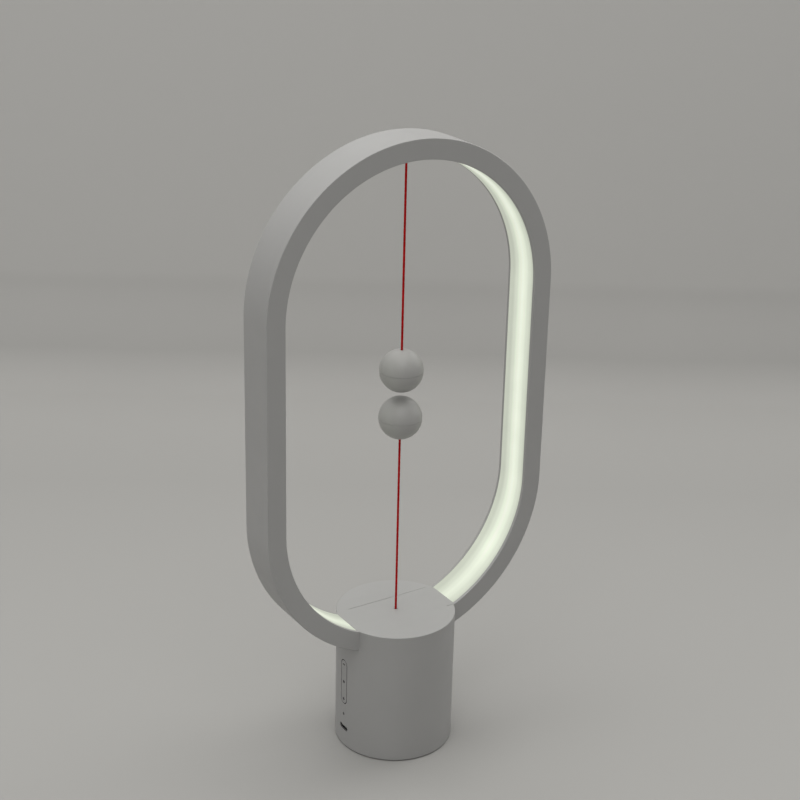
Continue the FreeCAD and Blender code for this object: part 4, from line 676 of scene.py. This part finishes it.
def braid(name, shade):
    """Dyed cord: single fibres along the strands, lighter and darker at random, in fibres and in
    broader patches.
    """
    made = Finish(name)
    fibres = made.noise(
        scale=5200, detail=3, rough=0.65, source=made.stretched((1, 1, 0.35))
    )
    worn = made.calculate("MULTIPLY", made.noise(scale=120, detail=3), 0.5)
    made.join(
        made.shades(
            made.calculate("ADD", fibres, worn),
            (0.50, tone(shade, 0.45)), (0.72, shade), (0.98, tone(shade, 1.7)),
        ),
        made.shader.inputs["Base Color"],
    )
    made.join(made.ranged(fibres, 0.62, 0.85), made.shader.inputs["Roughness"])
    made.shader.inputs["Specular IOR Level"].default_value = 0.08
    made.shader.inputs["Sheen Weight"].default_value = 0.03
    made.bumps((fibres, 0.00004, 0.6))
    return made.material


def milky_glow(name):
    """Milky plastic lit from behind: brightest along its middle, softer at both edges."""
    made = Finish(name)
    shade = tuple(colours().glow)
    place = made.split_place()
    away = made.calculate("ABSOLUTE", made.calculate("ADD", place["Y"], sizes().glow_shift))
    levels = ((0.0, 0.80), (0.22, 0.73), (0.55, 0.56), (0.86, 0.42), (1.0, 0.44))
    strength = made.shades(
        made.ranged(away, 0, 1, 0, BAND_HIGH.y),
        *[(share, (level, level, level)) for share, level in levels], easing="EASE",
    )
    dim_ends = made.ranged(place["Z"], 0.68, 1.0, BAND_LOW.z, BAND_LOW.z + 0.03)
    cloud = made.ranged(made.noise(scale=45, detail=3), 0.96, 1.04)
    power = made.calculate("MULTIPLY", strength, made.calculate("MULTIPLY", cloud, dim_ends))
    made.join(power, made.shader.inputs["Emission Strength"])
    made.shader.inputs["Emission Color"].default_value = (*shade, 1)
    made.join(
        made.shades(
            made.noise(scale=60, detail=3),
            (NOISE_LOW, tone(shade, 0.40)), (NOISE_HIGH, tone(shade, 0.44)),
        ),
        made.shader.inputs["Base Color"],
    )
    made.shader.inputs["Roughness"].default_value = 0.42
    made.bumps((made.noise(scale=2400, detail=3, rough=0.6), 0.00001, 0.3))
    return made.material


def smoked_plastic(name, shade):
    """Dark clear plastic of a light guide whose light is off."""
    made = Finish(name)
    made.join(
        made.shades(made.noise(scale=700), (NOISE_LOW, tone(shade, 0.9)), (NOISE_HIGH, shade)),
        made.shader.inputs["Base Color"],
    )
    made.shader.inputs["Roughness"].default_value = 0.3
    made.bumps((made.noise(scale=1500), 0.00001, 0.3))
    return made.material


def sweep_paper(name, height):
    """Studio paper: the floor's shade in front, and the wall's shade as it rises behind, with
    painted light between: a lighter strip just before the bend and a darker band low on the bend.
    """
    made = Finish(name)
    place = made.split_place()
    level = made.ranged(place["Z"], 0, 1, 0, height)
    cloud = made.ranged(made.noise(scale=6, detail=3), -0.004, 0.004)
    floor, wall = tuple(colours().floor), tuple(colours().wall)
    # Painted light: the floor turns lighter just before the bend, dips back to the floor's shade
    # low on the bend, and rises to the wall's shade above.
    painted_light_rise = made.shades(
        made.calculate("ADD", level, cloud), (0, tone(floor, 1.12)), (0.055, floor), (0.2, wall)
    )
    blend = made.node("Mix", data_type="RGBA")
    made.join(made.ranged(place["Y"], 0, 1, 0.38, 0.56), blend.inputs["Factor"])
    blend.inputs["A"].default_value = (*floor, 1)
    made.join(painted_light_rise, blend.inputs["B"])
    made.join(blend.outputs["Result"], made.shader.inputs["Base Color"])
    made.shader.inputs["Roughness"].default_value = 0.9
    made.shader.inputs["Specular IOR Level"].default_value = 0.1
    made.bumps((made.noise(scale=900, detail=3), 0.00002, 0.2))
    made.open_behind()
    return made.material


# ------------------------------------------------------------------------------ operators


class LAMP_OT_camera(bpy.types.Operator):
    """Sets up the camera"""

    bl_idname = "lamp.camera"
    bl_label = "Camera"

    def execute(self, context):
        view = studio()
        lens = bpy.data.cameras.new("studio_camera")
        lens.lens = view.lens
        lens.sensor_width = SENSOR
        lens.clip_start, lens.clip_end = 0.05, 50
        camera = bpy.data.objects.new("studio_camera", lens)
        context.scene.collection.objects.link(camera)
        turn = (
            Matrix.Rotation(-view.yaw, 4, "Z")
            @ Matrix.Rotation(math.pi / 2 - view.pitch, 4, "X")
            @ Matrix.Rotation(view.roll, 4, "Z")
        )
        place = Matrix.Translation((view.camera_x, view.camera_y, view.camera_z))
        camera.matrix_world = place @ turn
        context.scene.camera = camera
        return {"FINISHED"}


def spline_points(route, steps):
    """Points along the smooth curve that a cord's route gives."""
    curve = bpy.data.curves.new("route", "CURVE")
    curve.dimensions = "3D"
    line = curve.splines.new("NURBS")
    line.points.add(len(route) - 1)
    for point, place in zip(line.points, route):
        point.co = (*place, 1)
    line.order_u = 3
    line.use_endpoint_u = True
    line.resolution_u = steps
    carrier = bpy.data.objects.new("route", curve)
    bpy.context.scene.collection.objects.link(carrier)
    bpy.context.view_layer.update()
    mesh = bpy.data.meshes.new_from_object(carrier)
    points = [vertex.co.copy() for vertex in mesh.vertices]
    bpy.data.objects.remove(carrier)
    bpy.data.curves.remove(curve)
    bpy.data.meshes.remove(mesh)
    return points


def braided(name, points, diameter):
    """A round braid along points: strands wind both ways, and stand proud by turns."""
    surface, travelled = [], 0.0
    for number, middle in enumerate(points):
        before, after = points[max(number - 1, 0)], points[min(number + 1, len(points) - 1)]
        travelled += (middle - before).length
        facing = (after - before).to_track_quat("Z", "Y").to_matrix()
        wind = 2 * math.pi * travelled / BRAID_PITCH
        for step in range(BRAID_SIDES):
            turn = 2 * math.pi * step / BRAID_SIDES
            right = math.cos(BRAID_STRANDS * turn + wind)
            left = math.cos(BRAID_STRANDS * turn - wind)
            proud = diameter / 2 * (BRAID_LOW + BRAID_RISE * max(right, left))
            side = facing @ Vector((math.cos(turn), math.sin(turn), 0))
            surface.append(middle + side * proud)
    faces = grid_faces(len(points), BRAID_SIDES, round_rows=False)
    last = len(surface) - 1
    faces += [tuple(range(BRAID_SIDES)), tuple(range(last, last - BRAID_SIDES, -1))]
    return mesh_object(name, surface, faces)


class LAMP_OT_strings(bpy.types.Operator):
    """Braids the two red strings"""

    bl_idname = "lamp.strings"
    bl_label = "Strings"

    def execute(self, context):
        cord = braid("red_braid", tuple(colours().string))
        plate, ball = PLATE_HIGH.z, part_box("lower_ball_knot")[0].z - 0.05 * MM
        lower = self.string("lower_cord", plate, ball, cord, "lower_line", "lower_string")
        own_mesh(lower)
        bead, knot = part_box("upper_bead")[0].z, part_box("upper_ball_top")[1].z
        self.string("upper_cord", bead, knot - 0.5 * MM, cord, "upper_pendulum", "upper_string")
        for node in ("lower_string_root", "lower_string_tail", "lower_ball_knot"):
            paint(node, cord)
        return {"FINISHED"}

    def string(self, name, start, end, cord, body, node):
        """A taut string between two heights."""
        diameter, reach = sizes().string, abs(end - start)
        route = [(0, 0, start), (0, 0, (start + end) / 2), (0, 0, end)]
        points = spline_points(route, int(reach / STRING_STEP))
        made = braided(name, points, diameter)
        finish_piece(made, cord, body, node, slot="string", angle=80)
        return made


def paint(node, material):
    """Gives a frame node its finish."""
    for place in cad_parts[node].material_slots:
        place.material = material


class LAMP_OT_ring(bpy.types.Operator):
    """Builds the ring's housing and its back cover"""

    bl_idname = "lamp.ring"
    bl_label = "Ring"

    def execute(self, context):
        s = sizes()
        outer, half = SHELL_HIGH.x, SHELL_HIGH.y
        inner, wall = outer - s.ring_band, outer - s.ring_wall
        front, face = -half, -half + s.ring_face
        plastic = moulded("ring_plastic", tuple(colours().shell))
        shell = sweep_oval("ring_housing", rounded([
            (inner, front, s.edge), (outer, front, s.edge), (outer, half, s.edge),
            (wall, half, s.fine_edge), (wall, face, 0), (inner, face, s.fine_edge),
        ]))
        finish_piece(shell, plastic, "base", "ring_shell", slot="shell", even=True)
        rim, deep = wall - s.cover_gap, half - s.ring_face
        cover = sweep_oval("ring_rear_cover", rounded([
            (rim, half, s.fine_edge), (inner, half, s.edge),
            (inner, deep, s.fine_edge), (rim, deep, 0),
        ]))
        finish_piece(cover, plastic, "base", "ring_back_cover", slot="shell", even=True)
        return {"FINISHED"}


class LAMP_OT_diffuser(bpy.types.Operator):
    """Builds the glowing band inside the ring"""

    bl_idname = "lamp.diffuser"
    bl_label = "Diffuser"

    def execute(self, context):
        s = sizes()
        inner = SHELL_HIGH.x - s.ring_band
        outer, half = inner + s.diffuser_wall, BAND_HIGH.y
        opened = math.acos((low_centre() - PLATE_HIGH.z) / inner)
        section = rounded([
            (inner, -half, s.fine_edge), (outer, -half, 0),
            (outer, half, 0), (inner, half, s.fine_edge),
        ], steps=3)
        band = sweep_oval("glow_band", section, opened)
        top = SHELL_HIGH.z
        cut_with(band, prism("ceiling_cut", circle_outline(s.ceiling_hole), top - 0.03, top, "Z"))
        finish_piece(band, milky_glow("milky_glow"), "base", "diffuser", slot="diffuser")
        return {"FINISHED"}


class LAMP_OT_base(bpy.types.Operator):
    """Builds the base's housing with its slot and openings"""

    bl_idname = "lamp.base"
    bl_label = "Base"

    def execute(self, context):
        s = sizes()
        radius, low, high = BASE_HIGH.x, BASE_LOW.z, BASE_HIGH.z
        inside = radius - s.base_wall
        housing = turned("base_housing", rounded([
            (0, high, 0), (radius, high, s.edge), (radius, low, s.fine_edge),
            (inside, low, s.fine_edge), (inside, s.cavity_top, 0), (0, s.cavity_top, 0),
        ]))
        key_run, port_run = s.key_length - s.key_width, s.port_width - s.port_tall
        openings = {
            "key_cut": pill_outline(s.key_width / 2, key_run / 2, (0, s.key_centre), True),
            "pilot_cut": circle_outline(s.pilot_hole, (0, s.pilot_height), SMALL_ROUND),
            "port_cut": pill_outline(s.port_tall / 2, port_run / 2, (0, s.port_height), False),
        }
        outside, behind_wall = -radius - 0.01, -radius + 0.008
        for name, outline in openings.items():
            cut_with(housing, prism(name, outline, outside, behind_wall, "X"))
        ease_edges(housing, s.fine_edge)
        slot = prism(
            "slot_cut",
            circle_outline(SHELL_HIGH.x + s.slot_front, (0, low_centre()), LARGE_ROUND),
            -SHELL_HIGH.y - s.slot_front, SHELL_HIGH.y + s.slot_rear, "Y",
        )
        cut_with(housing, slot)
        # Painted shade: what lies deeper than the base's face, from 15 mm under its top downwards,
        # turns nearly black inside the openings and the slot.
        plastic = moulded("base_plastic", tuple(colours().shell), recess=(radius, high - 15 * MM))
        finish_piece(
            housing, plastic, "base", "base_shell", slot="shell", radius=radius, even=True
        )
        paint("base_cover", moulded("cover_plastic", tone(colours().shell, 0.85), 0.6))
        paint("foot_pad", rubber("foot_rubber", (0.035, 0.035, 0.036)))
        return {"FINISHED"}


class LAMP_OT_plate(bpy.types.Operator):
    """Builds the flush plate between the ring's ends"""

    bl_idname = "lamp.plate"
    bl_label = "Top plate"

    def execute(self, context):
        s = sizes()
        half, depth, top = PLATE_HIGH.x + s.plate_over, PLATE_HIGH.y, PLATE_HIGH.z
        arc = SHELL_HIGH.x - s.ring_band - s.plate_gap
        shut, opened = depth + s.slot_rear - 0.01 * MM, -depth + s.slot_end
        corners = [
            (-half, -depth), (s.seam_front, -depth), (s.seam_front, opened), (half, opened),
            (half, shut), (s.seam_right, shut), (s.seam_right, depth), (s.seam_left, depth),
            (s.seam_left, shut), (-half, shut),
        ]
        plate = prism("top_plate_skin", corners, top - 0.012, top, "Z")
        clear, side = 0.02, 0.05
        round_of_ring = circle_outline(arc, (0, low_centre()), LARGE_ROUND)
        keep_within(plate, prism("under_cut", round_of_ring, -clear, clear, "Y"))
        room = box_outline(-side, side, top - clear, top - s.plate_skin)
        inside = depth - s.ring_face
        hollow = prism("hollow_cut", room, -inside, inside, "Y")
        hole = prism("hole_cut", circle_outline(s.string_hole), top - clear, top + clear, "Z")
        cut_with(plate, hollow, hole)
        ease_edges(
            plate, s.fine_edge,
            lambda middle: s.seam_left < middle.x < s.seam_right and middle.y > depth - 0.1 * MM,
        )
        plastic = moulded("plate_plastic", tuple(colours().shell))
        finish_piece(plate, plastic, "base", "bridge_plate", slot="shell", even=True)
        return {"FINISHED"}


class LAMP_OT_keys(bpy.types.Operator):
    """Builds the long key with its three marks"""

    bl_idname = "lamp.keys"
    bl_label = "Keys"

    def execute(self, context):
        s = sizes()
        radius = BASE_HIGH.x
        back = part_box("key_strip")[0].x + 3.5 * MM
        half, centre = (s.key_length - s.key_width) / 2, s.key_centre
        outline = pill_outline(s.key_width / 2 - s.key_gap, half, (0, centre), True, steps=40)
        key = prism("key_bar", outline, -radius - 2 * MM, back, "X")
        keep_within(key, prism("key_round", circle_outline(radius, steps=360), 0, 0.1, "Z"))
        upper, lower = centre + s.mark_space, centre - s.mark_space
        marks = [
            self.bar(s.mark_length, s.mark_line, upper),
            circle_outline(s.mark_dot, (0, centre), SMALL_ROUND),
            self.bar(s.mark_length, s.mark_line, lower),
            self.bar(s.mark_line, s.mark_length, lower),
        ]
        front, floor = -radius - 4 * MM, -radius + s.key_mark
        cut_with(key, *[prism("mark_cut", mark, front, floor, "X") for mark in marks])
        ease_edges(key, s.fine_edge * 0.4)
        # Painted shade on the key's sides deep in its gap; the same dark in the engraved marks
        # also stands for their dark fill.
        plastic = moulded(
            "key_plastic", tone(colours().shell, 0.97), rough=0.52, recess=(radius, BASE_HIGH.z)
        )
        finish_piece(key, plastic, "key_strip", "key_strip", slot="key", radius=radius, even=True)
        return {"FINISHED"}

    def bar(self, wide, tall, level):
        """Corners of a mark's line around a height on the key."""
        side, rise = wide / 2, tall / 2
        return box_outline(-side, side, level - rise, level + rise)


class LAMP_OT_balls(bpy.types.Operator):
    """Builds the two balls, each of two halves"""

    bl_idname = "lamp.balls"
    bl_label = "Balls"

    def execute(self, context):
        satin = moulded(
            "ball_satin", tuple(colours().ball),
            rough=0.42, grain=4200, depth=0.000006, drift=0.015, specular=0.45,
        )
        balls = (("upper", "upper_pendulum", 1), ("lower", "lower_ball", -1))
        for ball, body, string_side in balls:
            top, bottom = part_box(f"{ball}_ball_top"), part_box(f"{ball}_ball_bottom")
            centre = (top[1].z + bottom[0].z) / 2
            for word, side in (("top", 1), ("bottom", -1)):
                half = self.half_shell(f"{ball}_shell_{word}", centre, side, side == string_side)
                finish_piece(half, satin, body, f"{ball}_ball_{word}", slot="ball")
        return {"FINISHED"}

    def half_shell(self, name, centre, side, holed):
        """Half of a ball, stepped in at its seam, with a mouth where its string goes in."""
        s = sizes()
        radius, inner = s.ball / 2, s.ball / 2 - s.ball_wall
        hole = s.string / 2 + 0.2 * MM if holed else 0
        lip = 0.3 * MM if holed else 0
        start = math.acos((hole + lip) / radius)
        seam = math.asin(s.seam_width / 2 / radius)
        arcs, inner_arcs = 48, 24
        outside = [
            (radius * math.cos(turn), radius * math.sin(turn))
            for turn in (start + (seam - start) * n / arcs for n in range(arcs + 1))
        ]
        edge = [(radius - s.seam, s.seam_width * 0.3), (radius - s.seam, 0.01 * MM)]
        inside = [
            (inner * math.cos(turn), inner * math.sin(turn))
            for turn in (math.acos(hole / inner) * n / inner_arcs for n in range(inner_arcs + 1))
        ]
        mouth = [(hole, math.sqrt(radius ** 2 - hole ** 2) - lip)] if holed else []
        profile = [(r, centre + side * z) for r, z in outside + edge + inside + mouth]
        return turned(name, profile)


class LAMP_OT_inside(bpy.types.Operator):
    """Gives every inner piece its finish"""

    bl_idname = "lamp.inside"
    bl_label = "Inner pieces"

    def execute(self, context):
        finishes = (
            (moulded("black_plastic", (0.03, 0.03, 0.032), 0.45, drift=0.08),
             "switch_frame", "string_anchor", "battery_holder", "key_plate"),
            (moulded("white_plastic", (0.74, 0.73, 0.68), 0.4, drift=0.03),
             "lead_sockets", "string_bush", "upper_bead", "pull_slider"),
            (moulded("switch_plastic", (0.02, 0.02, 0.022), 0.35, drift=0.1),
             "tact_switches", "micro_switch"),
            (circuit("solder_resist"), "main_board", "charge_board"),
            (metal("zinc_plate", (0.55, 0.55, 0.56), 0.32), "cover_screws", "bridge_screws",
             "frame_screws", "board_screws", "holder_screws", "switch_pins", "key_pin"),
            (metal("spring_steel", (0.45, 0.45, 0.46), 0.28, (1, 1, 4)), "return_spring"),
            (metal("drawn_steel", (0.45, 0.45, 0.45), 0.35, (0.2, 1, 1)), "charging_port"),
            (metal("nickel_plate", (0.70, 0.68, 0.64), 0.16), "upper_magnet", "lower_magnet"),
            (metal("cast_steel", (0.20, 0.20, 0.20), 0.55, depth=0.00003), "ballast_weight"),
            (moulded("cell_sleeve", (0.05, 0.16, 0.34), 0.28, drift=0.05), "battery_cell"),
            (rubber("lead_sheath", (0.025, 0.025, 0.027), 0.55),
             "light_lead", "light_link", "battery_lead"),
            (moulded("tape_white", (0.8, 0.8, 0.76), 0.35, drift=0.03),
             "light_tape_left", "light_tape_right"),
            (moulded("chip_phosphor", (0.85, 0.70, 0.22), 0.3, drift=0.05),
             "light_chips_left", "light_chips_right", "indicator_light"),
            (smoked_plastic("smoked_guide", (0.018, 0.018, 0.02)), "light_guide"),
        )
        for material, *nodes in finishes:
            for node in nodes:
                paint(node, material)
        return {"FINISHED"}


class LAMP_OT_stage(bpy.types.Operator):
    """Builds the floor, the backdrop and the lights"""

    bl_idname = "lamp.stage"
    bl_label = "Stage"

    def execute(self, context):
        view = studio()
        self.sweep()
        world = bpy.data.worlds.new("studio_room")
        context.scene.world = world
        world.use_nodes = True
        room = world.node_tree.nodes["Background"]
        room.inputs["Color"].default_value = ROOM_TINT
        room.inputs["Strength"].default_value = view.ambient
        softboxes = (
            ("top_softbox", (0, 0, 2.2), 2.5, view.top_light),
            ("back_softbox", (0, 1.9, 2.3), 4.0, view.back_light),
            ("left_softbox", (-2.4, 0.2, 1.2), 2.5, view.left_light),
            ("right_softbox", (2.4, 0.2, 1.2), 2.5, view.right_light),
            ("front_softbox", (-1.2, -2.2, 2.6), 3.0, view.front_light),
        )
        for name, place, size, power in softboxes:
            self.softbox(name, place, size, power)
        context.scene.view_settings.view_transform = "Standard"
        return {"FINISHED"}

    def softbox(self, name, place, size, power):
        """A round soft light that faces the lamp."""
        light = bpy.data.lights.new(name, "AREA")
        light.shape, light.size, light.energy = "DISK", size, power
        light.color = LIGHT_TINT
        made = bpy.data.objects.new(name, light)
        made.location = place
        made.rotation_euler = (AIM - Vector(place)).to_track_quat("-Z", "Y").to_euler()
        bpy.context.scene.collection.objects.link(made)

    def sweep(self):
        """A paper sweep that runs from the floor up into the backdrop."""
        front, near, behind, bend, width, height = -3.0, -0.5, 0.66, 0.09, 4.0, 0.5
        bend_steps = 24
        profile = [(front, 0), (near, 0), (behind - bend, 0)]
        for step in range(1, bend_steps + 1):
            turn = math.pi / 2 * step / bend_steps
            profile.append((behind - bend + bend * math.sin(turn), bend - bend * math.cos(turn)))
        profile.append((behind, height))
        points = [(side, along, level) for along, level in profile for side in (-width, width)]
        faces = grid_faces(len(profile), 2, round_rows=False, round_columns=False)
        paper = mesh_object("paper_sweep", points, faces)
        paper.rotation_euler.z = -studio().yaw
        if paper.data.polygons[0].normal.z < 0:
            paper.data.flip_normals()
        paper.data.shade_smooth()
        paper.data.materials.append(sweep_paper("sweep_paper", height))


class LAMP_PT_panel(bpy.types.Panel):
    """Lists the lamp's builders and settings"""

    bl_label = "Magnetic Balance Lamp"
    bl_idname = "LAMP_PT_panel"
    bl_space_type = "VIEW_3D"
    bl_region_type = "UI"
    bl_category = "Lamp"

    def draw(self, context):
        for builder in BUILDERS:
            self.layout.operator(builder.bl_idname)
        for name, group in GROUPS.items():
            box = self.layout.box()
            for key in group.__annotations__:
                box.prop(getattr(context.scene, name), key)


BUILDERS = (
    LAMP_OT_camera,
    LAMP_OT_strings,
    LAMP_OT_ring,
    LAMP_OT_diffuser,
    LAMP_OT_base,
    LAMP_OT_plate,
    LAMP_OT_keys,
    LAMP_OT_balls,
    LAMP_OT_inside,
    LAMP_OT_stage,
)
GROUPS = {"lamp_sizes": LampSizes, "lamp_colours": LampColours, "lamp_studio": LampStudio}


def register():
    """Adds the settings, the operators and the panel."""
    for group in GROUPS.values():
        bpy.utils.register_class(group)
    for name, group in GROUPS.items():
        setattr(bpy.types.Scene, name, PointerProperty(type=group))
    for builder in BUILDERS:
        bpy.utils.register_class(builder)
    bpy.utils.register_class(LAMP_PT_panel)


def unregister():
    """Removes what register added, in the opposite order."""
    bpy.utils.unregister_class(LAMP_PT_panel)
    for builder in reversed(BUILDERS):
        bpy.utils.unregister_class(builder)
    for name, group in GROUPS.items():
        delattr(bpy.types.Scene, name)
        bpy.utils.unregister_class(group)


def main():
    """Builds everything in order."""
    register()
    for builder in BUILDERS:
        _, operation = builder.bl_idname.split(".")
        getattr(bpy.ops.lamp, operation)()


if __name__ == "__main__":
    main()
